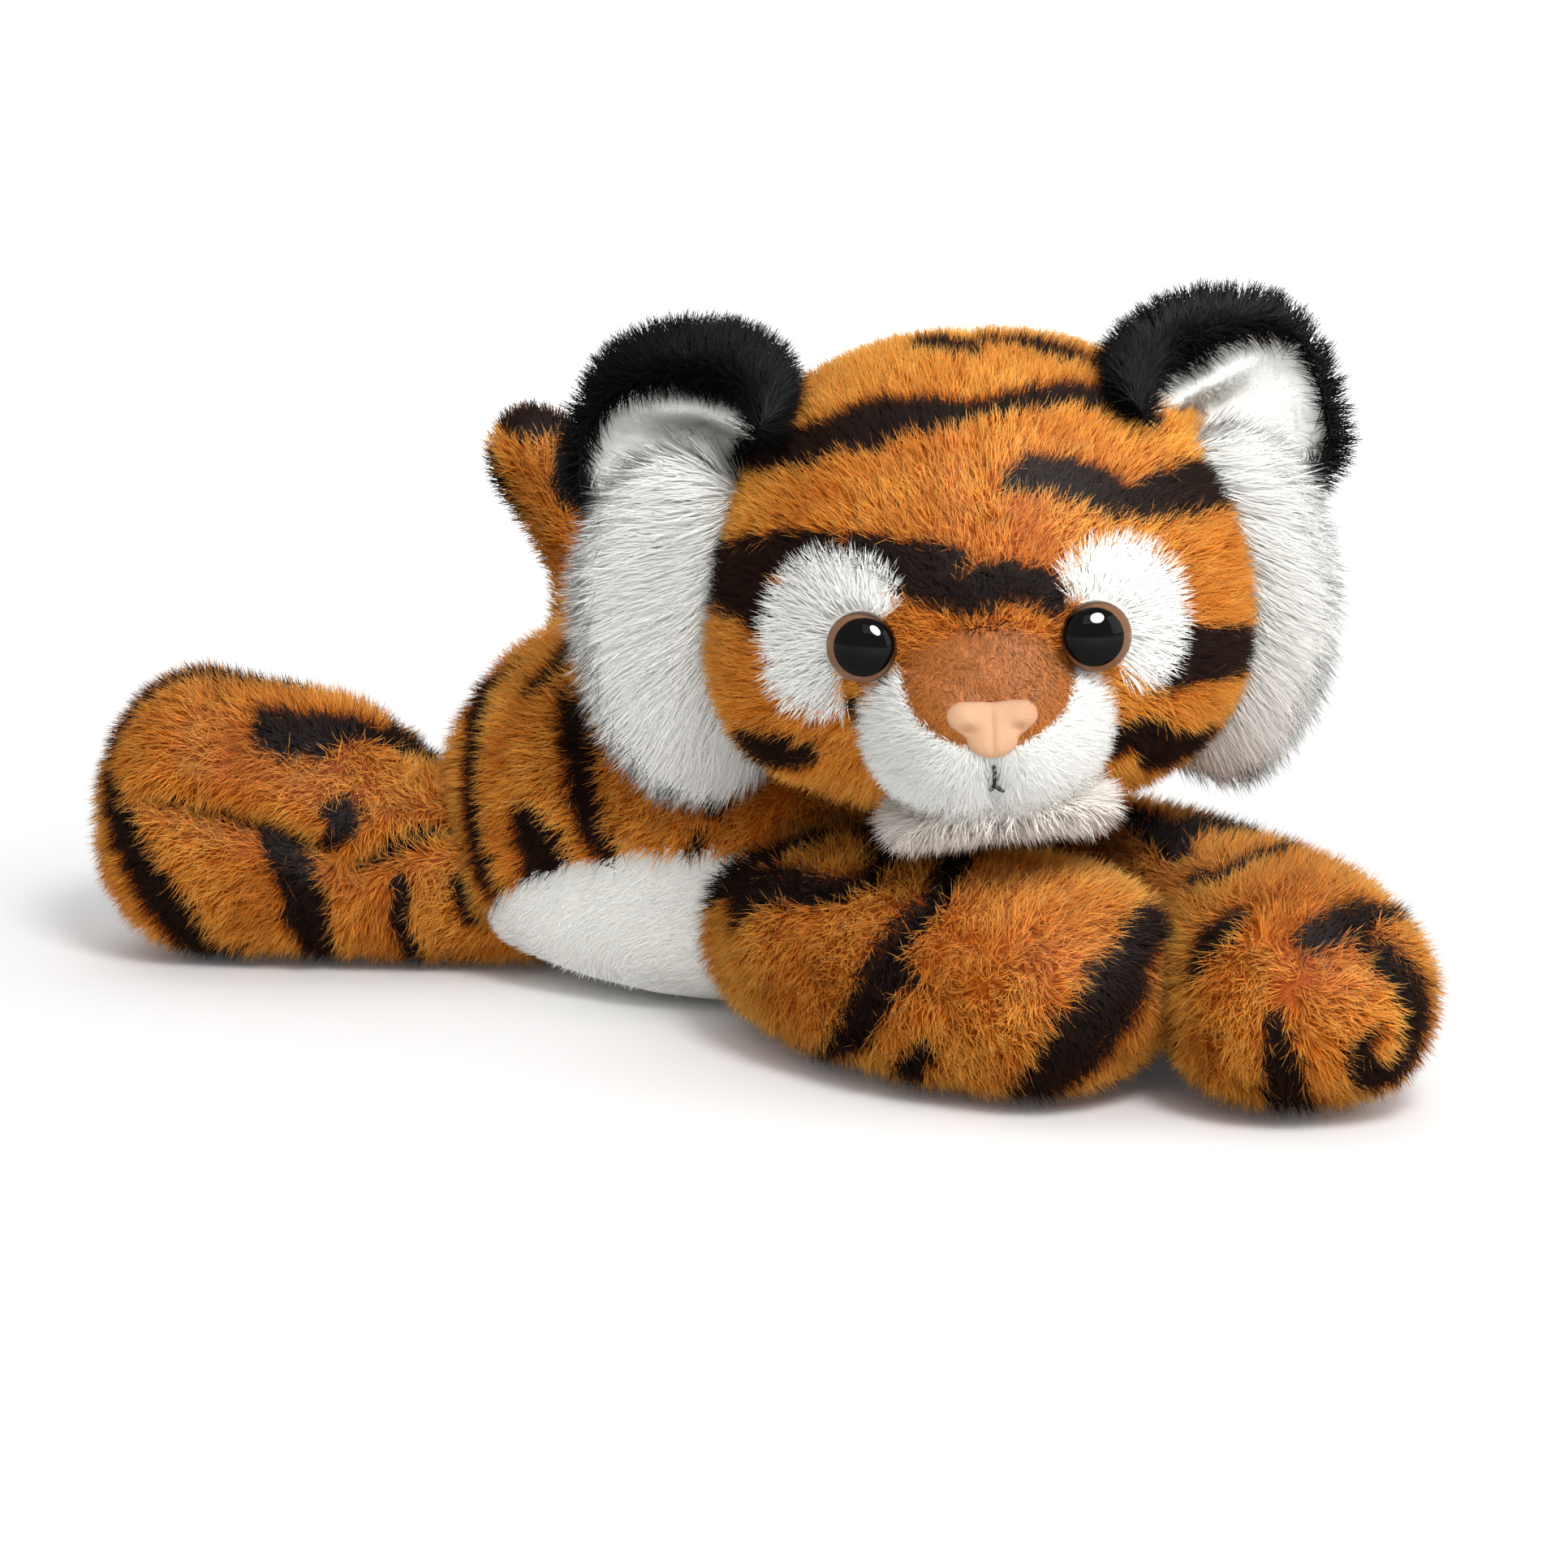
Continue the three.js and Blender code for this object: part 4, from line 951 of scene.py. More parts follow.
def clear_of_pads(points):
    """False where the ruffs, the muzzle and the nose's bridge cover the head."""
    places = to_face(points)
    clear = places[:, 2] > -41
    for side in (-1, 1):
        apart = places - at_side(side, RUFF)
        apart[:, 1] += RUFF["lean"] * apart[:, 2]
        clear &= np.linalg.norm(apart / (np.array(RUFF["half"]) + 1.5), axis=1) > 1
    centre = (places[:, [0, 2]] - MUZZLE_COVERS["middle"]) / MUZZLE_COVERS["half"]
    return clear & ~((np.linalg.norm(centre, axis=1) < 1) & (places[:, 1] < MUZZLE_COVERS["front"]))


def head_way(points):
    """The face's pile runs up and back from the nose, sweeps out over the cheeks and hangs a little below."""
    places = to_face(points)
    away = places - np.array([0, -56, -14])
    away[:, 2] -= 8
    return unit(away) @ face_axes.T + 0.42 * drift(points, 17 * MM, 135)


paint_skin(head_skin, head_mask, 136)
dress(head_skin, orange_pile, "head", ("head_skin", "head_stuffing"))
line_white(head_skin, in_patch)
grow_striped("head_pile", head_skin, head_way, head_mask, "head", per_mm2=3.9, length=HEAD_PILE, lift=48,
             keep=lambda p, n: (1 - in_patch(p)) * off_eye(p) * clear_of_pads(p), seed=140)

# The eye patches: crescents of white pile, a little longer than the orange, let into the head.
# Their hairs stand away from the eye and overlap the orange all round.
PATCH_PILE = 6.2
long_white_pile = plain_pile("long white pile", "#f8f7f0", "#fffffa", roughness=0.6)


def from_eye(points):
    """Straight out from the middle of the nearer eye."""
    places = to_face(points)
    side = np.sign(places[:, :1])
    away = places - np.array(EYE_PLACE) * np.concatenate([side, 1 + 0 * side, 1 + 0 * side], axis=1)
    away[:, 1] *= 0.3
    return unit(away) @ face_axes.T + 0.25 * drift(points, 8 * MM, 141)


for side, name in ((-1, "right"), (1, "left")):
    place, normal, rng = roots_on(
        head_skin, per_mm2=5.5, seed=143 + side,
        keep=lambda p, n: in_patch(p) * off_eye(p, radius=5.6) * (to_face(p)[:, 0] * side > 0))
    inner = 1 - 0.45 * smooth(-to_face(place)[:, 0] * side, -19, -14)
    patch = hairs(f"eye_patch_pile_{name}", place, normal, from_eye(place), rng, PATCH_PILE * inner,
                  width=0.26, lift=38, droop=16, clump=1.6, soft=0.92, mess=0.8, tufted=0.6)
    dress(patch, long_white_pile, "head", (f"eye_patch_{name}",))

# The cheek ruffs: flat pads of long white pile sewn into the seam behind each cheek, whose
# hairs run outwards and down past the cloth.
RUFF_PILE = 12.0


def pad_form(middle, half, rows, columns, lean=0.0, sag=0.0, slope=0.0):
    """An egg: an ellipsoid about a place of the face. Its upper part leans forward, its ends hang by the
    square of their distance from the middle, and it slopes up to the toy's left."""
    angle = np.linspace(-math.pi / 2, math.pi / 2, rows + 2)[1:-1]
    ends = np.array([[0, 0, -1.0], [0, 0, 1.0]]) * half
    rings = ball_rings(np.cos(angle), np.sin(angle), columns) * half
    rings[..., 1] -= lean * rings[..., 2]
    ends[:, 1] -= lean * ends[:, 2]
    rings[..., 2] += slope * rings[..., 0] - sag * rings[..., 0] ** 2
    return from_face(rings + middle), from_face(ends[0] + middle), from_face(ends[1] + middle)


def inside_head(places, grow=0.0):
    """True for places of the face that lie inside the head's ball."""
    flat = np.hypot(places[:, 0], places[:, 1]) / (HEAD_RADIUS + grow)
    tall = places[:, 2] / (np.where(places[:, 2] < 0, HEAD_DOWN, HEAD_UP) + grow)
    return np.hypot(flat, tall) < 1


for side, name in ((-1, "right"), (1, "left")):
    pad = closed_skin(f"cheek_ruff_pad_{name}", *pad_form(
        at_side(side, RUFF), RUFF["half"], rows=30, columns=40, lean=RUFF["lean"]))
    # The cloth under the pile gets part of the hairs' darker root colour: painted shade.
    give(pad, along=0.3, tone=0.5)
    dress(pad, long_white_pile, "head", (f"cheek_ruff_{name}",))
    place, normal, rng = roots_on(
        pad, per_mm2=5.6, seed=150 + side, keep=lambda p, n: ~inside_head(to_face(p), grow=-3))
    away = to_face(place) - np.array([side * 26.0 + SIDE_SHIFT, 0.0, 22.0])
    way = unit(away) @ face_axes.T + 0.3 * drift(place, 12 * MM, 152)
    ruff = hairs(f"cheek_ruff_pile_{name}", place, normal, way, rng, RUFF_PILE, width=0.25, lift=24,
                 droop=12, soft=0.96, mess=0.6, tufted=0.3)
    dress(ruff, long_white_pile, "head")

# The ears: two layers sewn back to back and turned, black pile behind and short white pile in
# front. Each is a cupped leaf whose inner edge is folded forward and sewn to the head, so the
# black pile rolls over the top edge and the white makes a soft fold under it.
EAR = dict(x=53, y=-4, z=36.5, deep=10.5, splay=10)
BLACK_PILE_LENGTH = 7.2
LINING_PILE = 2.0
LINING_HOLLOW = 2.5
FOLD_RISE = 5.5
EARS = {  # outlines of the cloth and of its white opening: inwards and upwards from the ear's middle
    "right": dict(
        outline=[(-21.5, -10), (-21.5, 0), (-18.5, 8), (-14, 14.5), (-7, 19), (1, 20.5), (9, 20.5), (17, 18),
                 (22.5, 13), (22.5, 7), (18, 0), (12, -10), (2, -20), (-12, -19)],
        opening=[(-20.2, -10), (-20, 0), (-15, 7), (-8, 11), (0.5, 12.3), (8.5, 11.2), (15, 9.5), (20, 7.5),
                 (20.5, 3.5), (16, -2), (10, -10), (4, -14), (-4, -17), (-13, -16)],
        fold=(6.5, 0.0), inward=0.062,
    ),
    "left": dict(
        outline=[(-24.5, -10), (-24, 0), (-22.5, 8), (-19, 15), (-12, 20.5), (-3, 22), (5, 21.5), (13, 18.5),
                 (20, 13), (20, 7), (15, 0), (10, -10), (0, -20), (-14, -19)],
        opening=[(-23.2, -10), (-23, 0), (-21.5, 8.5), (-17.5, 14), (-11, 16.8), (-5, 16), (1.5, 13.4),
                 (8.5, 10.4), (16, 7.5), (17.5, 3.5), (13.5, -3), (8, -10), (2, -15), (-12, -16)],
        fold=(8.0, 0.35), inward=0.085,
    ),
}
black_pile = plain_pile("black pile", "#020202", "#0a0909", roughness=0.6, gloss=0.04, tones=(0.5, 1.6))


def closed_curve(points, count):
    """A closed Catmull-Rom curve through points, at count places."""
    around = np.vstack([points[-2:], points, points[:3]])
    spans = len(around) - 1
    t = (2 + np.linspace(0, len(points), count, endpoint=False)) / spans
    return through(around, t)


def turned(degrees, axis):
    """The matrix of a turn about an axis."""
    return np.array(Matrix.Rotation(math.radians(degrees), 3, axis))


def ear_form(side, shape, columns):
    """The ear from its back's middle out to its outline, over a rolled edge to the white opening and in to
    the front's middle. The front is hollow under a soft fold, and the ear's inner half is bent forward by
    the square of its distance inwards, least where it is sewn in. Returns its rings and end points, the
    row where white starts, its place and its turn."""
    outline = closed_curve(np.array(shape["outline"], float), columns)
    opening = closed_curve(np.array(shape["opening"], float), columns)
    wall = np.linalg.norm(outline - opening, axis=1)
    spread = np.linspace(0.06, 1, 12)[:, None, None]
    level = 0 * outline[None, :, :1]
    back = np.concatenate([spread * outline, EAR["deep"] * np.cos(spread * math.pi / 2) + level], axis=2)
    roll = np.linspace(0, math.pi, 12)[1:-1, None]
    share = (1 + np.cos(roll))[..., None] / 2
    rolled = -((0.8 + 0.42 * wall) * np.sin(roll))[..., None]
    rim = np.concatenate([share * outline + (1 - share) * opening, rolled], axis=2)
    inner = np.linspace(1, 0.04, 30)[:, None, None]
    front = np.concatenate([inner * opening, LINING_HOLLOW * (1 - inner**2) + level], axis=2)
    inward, above = front[..., 0], front[..., 1]
    crest = shape["fold"][0] - 0.012 * np.maximum(inward, 0) ** 2 - shape["fold"][1] * (inward + 4)
    held = smooth(inward, -16, 2)
    front[..., 2] -= FOLD_RISE * held * np.exp(-(((above - crest) / 3.6) ** 2)) * (1 - inner[..., 0] ** 8)
    front[..., 2] += 3.0 * smooth(inward, -10, 4) * np.exp(-(((above - crest + 6.5) / 2.6) ** 2))
    whole = np.concatenate([back, rim, front])
    ends = [np.array([0, 0, EAR["deep"]]), np.array([0, 0, LINING_HOLLOW])]
    splay = turned(EAR["splay"] * side, "Z")
    middle = at_side(side, EAR)

    def put(local):
        """Bends the inner half forward, and carries the ear to its place on the head."""
        inward, above, behind = local[..., 0], local[..., 1], local[..., 2]
        held = (1 - 0.85 * smooth(above, 2, 17)) * smooth(above, -4, 6)
        bent = behind - shape["inward"] * np.maximum(inward - 2, 0) ** 2 * held
        return from_face(np.stack([-side * inward, bent, above], axis=-1) @ splay.T + middle)

    return put(whole), put(ends[0]), put(ends[1]), len(back) + len(rim), middle, splay


def outside(points, normals):
    """True where an ear stands out of the head."""
    return ~inside_head(to_face(points), grow=-6)


def sew_ear(side, name):
    """An ear's cloth, black behind and white in front, with the pile of both."""
    rings, back, front, white_row, middle, splay = ear_form(side, EARS[name], columns=84)
    ear = closed_skin(f"ear_cover_{name}", rings, back, front)
    push(ear, lambda p, n: 0.35 * MM * lattice_noise(p, 9 * MM, 158))
    # The cloth under the pile gets part of the hairs' darker root colour: painted shade.
    give(ear, along=0.4, tone=0.5)
    dress(ear, black_pile, f"ear_{name}", (f"ear_back_{name}",))
    ear.data.materials.append(short_white_pile)
    band = np.arange(len(ear.data.polygons)) // rings.shape[1]
    white = (band >= white_row) & (band != len(rings) - 1)
    ear.data.polygons.foreach_set("material_index", white.astype(np.int32))

    def outward(points):
        """Away from the ear's middle, up over its edge."""
        local = (to_face(points) - middle) @ splay * np.array([1, 0, 1]) + np.array([0, 0, 6])
        return unit(local) @ splay.T @ face_axes.T + 0.35 * drift(points, 8 * MM, 162)

    place, normal, rng = roots_on(ear, per_mm2=6.0, seed=160 + side, keep=outside, cloth=0)
    fringe = hairs(f"ear_back_pile_{name}", place, normal, outward(place), rng, BLACK_PILE_LENGTH,
                   width=0.3, lift=48, clump=2.0, soft=0.5)
    dress(fringe, black_pile, f"ear_{name}")
    place, normal, rng = roots_on(ear, per_mm2=4.5, seed=164 + side, keep=outside, cloth=1)
    lining = hairs(f"ear_lining_pile_{name}", place, normal, outward(place), rng, LINING_PILE,
                   width=0.28, lift=32, clump=1.5, soft=0.95, mess=0.7, tufted=0.5)
    dress(lining, short_white_pile, f"ear_{name}", (f"ear_lining_{name}",))


sew_ear(-1, "right")
sew_ear(1, "left")

# The muzzle: a plump cushion of short white pile sewn to the face by its outline, with a full
# lip on each side of a shallow groove.
MUZZLE_OUTLINE = [(1, -4), (9, -2.5), (17, -2.5), (22.5, -7.5), (24, -15), (22, -23), (16.5, -30), (8, -34),
                  (0.5, -34.8), (-7.5, -34), (-15, -30), (-20.5, -23), (-22.6, -15), (-21.2, -7),
                  (-15.5, -1.8), (-7, -2)]
MUZZLE_MIDDLE = np.array([0.8, -18.0])
MUZZLE_STAND = 13.5
MUZZLE_SUNK = 4.0
MUZZLE_PILE = 4.0


def head_front(x, z):
    """How far forward the head's cover lies at a place of the face."""
    tall = np.where(z < 0, HEAD_DOWN, HEAD_UP) - HEAD_INSET
    rise = np.minimum(np.abs(z) / tall, 0.999) ** (1 / HEAD_FULLNESS)
    reach = (HEAD_RADIUS - HEAD_INSET) * (1 - rise**2) ** (HEAD_FULLNESS / 2)
    return -np.sqrt(np.maximum(reach**2 - x**2, 1.0))


def outline_share(x, z, outline, middle):
    """0 at the middle of an outline and 1 on it: the distance from the middle over the outline's own at that
    angle."""
    edge = closed_curve(np.array(outline, float), 240) - middle
    angle = np.arctan2(edge[:, 1], edge[:, 0])
    order = np.argsort(angle)
    here = np.arctan2(z - middle[1], x - middle[0])
    reach = np.interp(here, angle[order], np.hypot(*edge.T)[order], period=2 * math.pi)
    return np.hypot(x - middle[0], z - middle[1]) / reach


def muzzle_front(x, z):
    """The cushion: the head's front, sunk at the outline and standing out by (1 - share^2.6)^0.6 inside it,
    with two lips and a groove between them, each a bell curve."""
    share = np.minimum(outline_share(x, z, MUZZLE_OUTLINE, MUZZLE_MIDDLE), 1)
    stand = MUZZLE_STAND * (1 - share**2.6) ** 0.6
    lips = 1.6 * np.exp(-(((np.abs(x - 1.5) - 9) / 7) ** 2) - ((z + 22) / 8) ** 2)
    groove = 1.8 * np.exp(-(((x - 1.5) / 2.0) ** 2)) * smooth(-z, 17, 24)
    return head_front(0.75 * x, 0.45 * z) + MUZZLE_SUNK - stand - (lips - groove) * (1 - share**6)


def cushion(outline, middle, front, sunk, rows, columns):
    """Rings from a sunk copy of an outline, over it and in to its middle, at the depths of front(x, z)."""
    edge = closed_curve(np.array(outline, float), columns)
    share = np.sin(np.linspace(math.pi / 2, 0.03, rows))[:, None, None]
    flat = middle + (edge - middle) * share
    depth = front(flat[..., 0], flat[..., 1])
    rings = np.stack([flat[..., 0], depth, flat[..., 1]], axis=-1)
    under = np.stack([edge[:, 0], depth[0] + sunk, edge[:, 1]], axis=-1)
    start = under.mean(0) + [0, sunk, 0]
    end = np.array([middle[0], front(*[np.array([part]) for part in middle])[0], middle[1]])
    return from_face(np.concatenate([under[None], rings])), from_face(start), from_face(end)


def from_nose(points):
    """Outwards from the nose."""
    return unit(to_face(points) - np.array([1.8, -66, -14])) @ face_axes.T + 0.22 * drift(points, 8 * MM, 171)


def clear_front(points, normals):
    """Only where a pad stands out of the head, and clear of the eyes."""
    return ~inside_head(to_face(points), grow=-3) * off_eye(points, radius=6.6)


def on_bridge(points):
    """True where the brown saddle covers the muzzle."""
    x, _, z = to_face(points).T
    return outline_share(x, z, BRIDGE_OUTLINE, BRIDGE_MIDDLE) < 0.97


def face_pad(node, skin, material, way, keep, pile, per_mm2, width, lift, seed, droop=0.0):
    """A stuffed pad of the face with its pile."""
    # The cloth under the pile gets part of the hairs' darker root colour: painted shade.
    give(skin, along=0.5, tone=0.5)
    dress(skin, material, "head", (node,))
    place, normal, rng = roots_on(skin, per_mm2, seed, keep)
    made = hairs(f"{node}_pile", place, normal, way(place), rng, pile, width, lift,
                 droop=droop, clump=1.5, soft=0.9, mess=1.2, tufted=0.6)
    return dress(made, material, "head")


BRIDGE_OUTLINE = [(1.4, 4.4), (8, 3.8), (14.5, 1.6), (18, -4), (17, -10.5), (11.5, -15.5), (5, -17.5),
                  (1.5, -18), (-2, -17.5), (-8, -15.5), (-13.5, -10.5), (-15.2, -4), (-13.5, 1.4), (-7, 3.8)]
BRIDGE_MIDDLE = np.array([1.3, -7.0])
muzzle = closed_skin("muzzle_cover", *cushion(
    MUZZLE_OUTLINE, MUZZLE_MIDDLE, muzzle_front, sunk=5.0, rows=40, columns=96))
face_pad("muzzle", muzzle, short_white_pile, from_nose,
         lambda p, n: clear_front(p, n) * ~on_bridge(p),
         pile=MUZZLE_PILE, per_mm2=6.2, width=0.27, lift=52, seed=172)

# The nose's bridge: a lightly padded saddle of short brown pile over the top of the muzzle and
# the foot of the forehead, sewn in at its edge.
BRIDGE_PILE = 2.2
BRIDGE_PROUD = 1.5
brown_pile = plain_pile(
    "short brown pile", "#6d3710", "#cc7c3a", roughness=0.6, gloss=0.06, tones=(0.6, 1.36))


def bridge_front(x, z):
    """The saddle: a little in front of the muzzle and the forehead, and down to them at its edge."""
    share = np.minimum(outline_share(x, z, BRIDGE_OUTLINE, BRIDGE_MIDDLE), 1)
    forehead = head_front(x, z) - 0.6 - 5.0 * (1 - share**2) * np.exp(-(((z + 6) / 8) ** 2))
    below = muzzle_front(x, z)
    blended = (forehead + below) / 2 - np.hypot((forehead - below) / 2, 0.9 * (1 - share**4))
    return blended + 0.6 - BRIDGE_PROUD * (1 - share**5) ** 0.6


bridge = closed_skin("nose_bridge_cover", *cushion(
    BRIDGE_OUTLINE, BRIDGE_MIDDLE, bridge_front, sunk=3.0, rows=34, columns=84))
face_pad("nose_bridge", bridge, brown_pile,
         lambda p: np.array([0, -0.2, -1.0]) @ face_axes.T + 0.25 * drift(p, 7 * MM, 174),
         lambda p, n: ~inside_head(to_face(p), grow=-3) * off_eye(p),
         pile=BRIDGE_PILE, per_mm2=9.0, width=0.32, lift=36, seed=175)

# The chin: a flat pad under the muzzle with a tuft of longer pile in a warmer white, sewn in by
# its rear edge.
CHIN = dict(middle=(2.2, -42.0, -31.8), half=(19.5, 12.5, 3.2), sag=0.0085, slope=0.06)
CHIN_PILE = 7.5
chin = closed_skin("chin_tuft_cover", *pad_form(
    np.array(CHIN["middle"]), np.array(CHIN["half"]), rows=30, columns=60,
    sag=CHIN["sag"], slope=CHIN["slope"]))


def beard_way(points):
    """Out from the chin and down."""
    out = (to_face(points) - np.array(CHIN["middle"])) * [1, 1, 0]
    return (0.6 * unit(out) + [0, 0, -0.8]) @ face_axes.T + 0.25 * drift(points, 7 * MM, 177)


chin_pile = face_pad("chin_tuft", chin, long_white_pile, beard_way, clear_front,
                     pile=CHIN_PILE, per_mm2=6.5, width=0.27, lift=50, seed=176, droop=12.0)
for piece in (chin, chin_pile):
    give(piece, cream=1)

# The nose: a small pad of pink velour over wadding, drawn in by a stitch down its middle and
# by one on each side that makes the nostrils.
NOSE = dict(x=1.9, z=-14.2, thickness=4.2, lean=14)
NOSE_HALF_OUTLINE = [(0, 5.2), (3.5, 5.5), (7.0, 5.3), (8.8, 3.6), (8.7, 1.4), (6.9, -0.4), (5.3, -1.7),
                     (4.6, -3.3), (2.8, -5.0), (0, -5.6)]
NOSE_PINK, NOSE_SHADE = "#cda27f", "#b98a6b"


def nose_form(rows, columns):
    """Rings that shrink from the outline to the middle by a sine while they rise by a cosine to one power,
    over a flat back, with a groove down the middle, two nostrils and a wing beside each."""
    half = np.array(NOSE_HALF_OUTLINE)
    whole = np.vstack([half, (half * [-1, 1])[::-1][1:-1]])
    edge = closed_curve(whole, columns)
    share = np.sin(np.linspace(math.pi / 2, 0.02, rows))[:, None]
    rise = np.cos(np.linspace(math.pi / 2, 0.02, rows))[:, None] ** 0.6
    x, z = share * edge[:, 0], share * edge[:, 1]
    groove = 0.55 * np.exp(-((x / 0.7) ** 2)) * smooth(-z, -6, -1)
    nostril = 1.3 * np.exp(-(((np.abs(x) - 5.0) / 1.5) ** 2) - ((z + 0.2) / 0.9) ** 2)
    wings = 0.8 * np.exp(-(((np.abs(x) - 5.5) / 2.4) ** 2) - ((z - 2.6) / 1.8) ** 2)
    y = -NOSE["thickness"] * rise + (groove + nostril - wings) * np.minimum(1, rise * 1.5)
    front = np.stack([x, y, z], axis=-1)
    back = front[0] * [0.9, 0, 0.9] + [0, 3.0, 0]
    lean = turned(-NOSE["lean"], "X")
    seat = bridge_front(np.array([NOSE["x"]]), np.array([NOSE["z"]]))[0] + 1.4
    put = lambda places: from_face(places @ lean.T + [NOSE["x"], seat, NOSE["z"]])
    ends = np.array([[0, 3.0, 0], [0, y[-1].mean(), 0]])
    return put(np.concatenate([back[None], front])), put(ends[0]), put(ends[1])


def velour(name):
    """Pink polyester velour: a cut pile under half a millimetre long, which shows as a fine grain with a
    soft sheen."""
    material, tree, shader = new_material(
        name, Roughness=0.85, Specular_IOR_Level=0.05, Sheen_Weight=0.1, Sheen_Roughness=0.4)
    place = add_node(tree, "ShaderNodeTexCoord").outputs["Object"]
    grain_size = {"Vector": place, "Scale": 1 / (0.5 * MM), "Detail": 2.0}
    cloud_size = {"Vector": place, "Scale": 1 / (6 * MM), "Detail": 1.0}
    grain = add_node(tree, "ShaderNodeTexNoise", grain_size).outputs[0]
    cloud = add_node(tree, "ShaderNodeTexNoise", cloud_size).outputs[0]
    mixed = add_node(tree, "ShaderNodeMapRange", {"Value": cloud, 1: 0.35, 2: 0.75, 4: 0.5}).outputs[0]
    colour = add_node(tree, "ShaderNodeMix", {0: mixed, 6: linear(NOSE_PINK), 7: linear(NOSE_SHADE)},
        data_type="RGBA")
    tree.links.new(colour.outputs[2], shader.inputs["Base Color"])
    raised = add_node(tree, "ShaderNodeBump", {"Height": grain, "Strength": 0.5, "Distance": 0.2 * MM})
    tree.links.new(raised.outputs[0], shader.inputs["Normal"])
    return material


nose = closed_skin("nose_pad", *nose_form(rows=26, columns=120))
dress(nose, velour("pink velour"), "head", ("nose",))

# The mouth: black polyester embroidery thread that runs down from the nose and forks in two. It
# lies on the muzzle's pile and goes through the cloth at its ends.
STITCH_RADIUS = 0.42
STITCH_PROUD = 2.8  # in front of the muzzle's cloth
MOUTH_LINES = [
    [(1.9, -20.8), (2.0, -23.0), (1.9, -25.4)],
    [(1.9, -25.2), (1.4, -25.9), (0.7, -26.3)],
    [(1.9, -25.2), (2.7, -26.0), (3.8, -26.4)],
]


def thread_tube(line, radius, rows, columns):
    """Rings across a line of points of the face, closed at both ends by shrinking rings."""
    t = np.linspace(0, 1, rows)
    middle = through(line, t)
    heading = unit(np.gradient(middle, axis=0))
    side = unit(np.cross(heading, [0, 1.0, 0.01]))
    size = radius * np.minimum(1, 1.6 * np.sqrt(np.minimum(t, 1 - t) * 4 + 0.02))
    rings = round_rings(middle, side, np.cross(side, heading), size, columns)
    return from_face(rings), from_face(middle[0]), from_face(middle[-1])


def thread(name):
    """Black polyester embroidery thread, twisted from two strands and lightly glossy. Its raised twist is
    painted lighter and its grooves darker: painted sheen and shade.
    """
    material, tree, shader = new_material(name, Roughness=0.5, Specular_IOR_Level=0.15)
    place = add_node(tree, "ShaderNodeTexCoord").outputs["Object"]
    twist = add_node(
        tree, "ShaderNodeTexWave", {"Vector": place, "Scale": 1 / (2.4 * MM), "Distortion": 0.4},
        bands_direction="DIAGONAL").outputs["Fac"]
    # painted sheen on the twist's raised strands, painted shade in its grooves
    colour = add_node(tree, "ShaderNodeMix", {0: twist, 6: linear("#0a0808"), 7: linear("#2a2423")},
        data_type="RGBA")
    tree.links.new(colour.outputs[2], shader.inputs["Base Color"])
    raised = add_node(tree, "ShaderNodeBump", {"Height": twist, "Strength": 0.6, "Distance": 0.15 * MM})
    tree.links.new(raised.outputs[0], shader.inputs["Normal"])
    return material


black_thread = thread("black embroidery thread")
for number, line in enumerate(MOUTH_LINES):
    x, z = np.array(line).T
    line = np.stack([x, muzzle_front(x, z) - STITCH_PROUD, z], axis=1)
    stitch = closed_skin(f"mouth_thread_{number + 1}", *thread_tube(line, STITCH_RADIUS, rows=18, columns=10))
    dress(stitch, black_thread, "head", ("mouth_stitch",) if number == 0 else ())

# The eyes: moulded safety eyes. A brown disc with its shank goes through the cloth into a washer
# inside the head; a black pupil and a clear dome cap it. The dome is drawn solid, with the disc
# and the pupil that it magnifies shown in its surface.
EYE_TOE, EYE_PROUD = 17, 0.8
DOME_RADIUS, DOME_SEAT, DOME_HEIGHT = 7.0, 1.2, 4.3
PUPIL_SHOWN, PUPIL_INWARD, PUPIL_ABOVE = 5.75, 1.25, 0.45
IRIS_RING, IRIS_EDGE, PUPIL_BLACK = "#79563d", "#3a2415", "#010101"


def eye_dome(side, rows, columns):
    """A half oval about the eye's axis on a short straight wall. Also returns each point's distance from
    the axis and from the middle of the pupil, which the dome shows nearer to the nose."""
    a = np.linspace(0, math.pi / 2, rows)[:-1]
    profile = [(DOME_RADIUS, 0.05), *zip(DOME_RADIUS * np.cos(a), DOME_SEAT + DOME_HEIGHT * np.sin(a))]
    turn = np.linspace(0, 2 * math.pi, columns, endpoint=False)
    rings = np.stack([
        np.stack([r * np.cos(turn), -h + 0 * turn, r * np.sin(turn)], axis=-1) for r, h in profile])
    ends = np.array([[0, -0.05, 0], [0, -DOME_SEAT - DOME_HEIGHT, 0]])
    toe = turned(EYE_TOE * side, "Z")
    x, _, z = EYE_PLACE
    surface = -math.sqrt(HEAD_RADIUS**2 - x**2) - EYE_PROUD
    put = lambda places: from_face(places @ toe.T + [side * x, surface, z])
    flat = np.vstack([ends[0], rings.reshape(-1, 3), ends[1]])[:, [0, 2]]
    radius = np.hypot(*flat.T)
    pupil = np.hypot(*(flat - [-side * PUPIL_INWARD, PUPIL_ABOVE]).T)
    pupil[0] = radius[0] = DOME_RADIUS
    return put(rings), put(ends[0]), put(ends[1]), radius, pupil


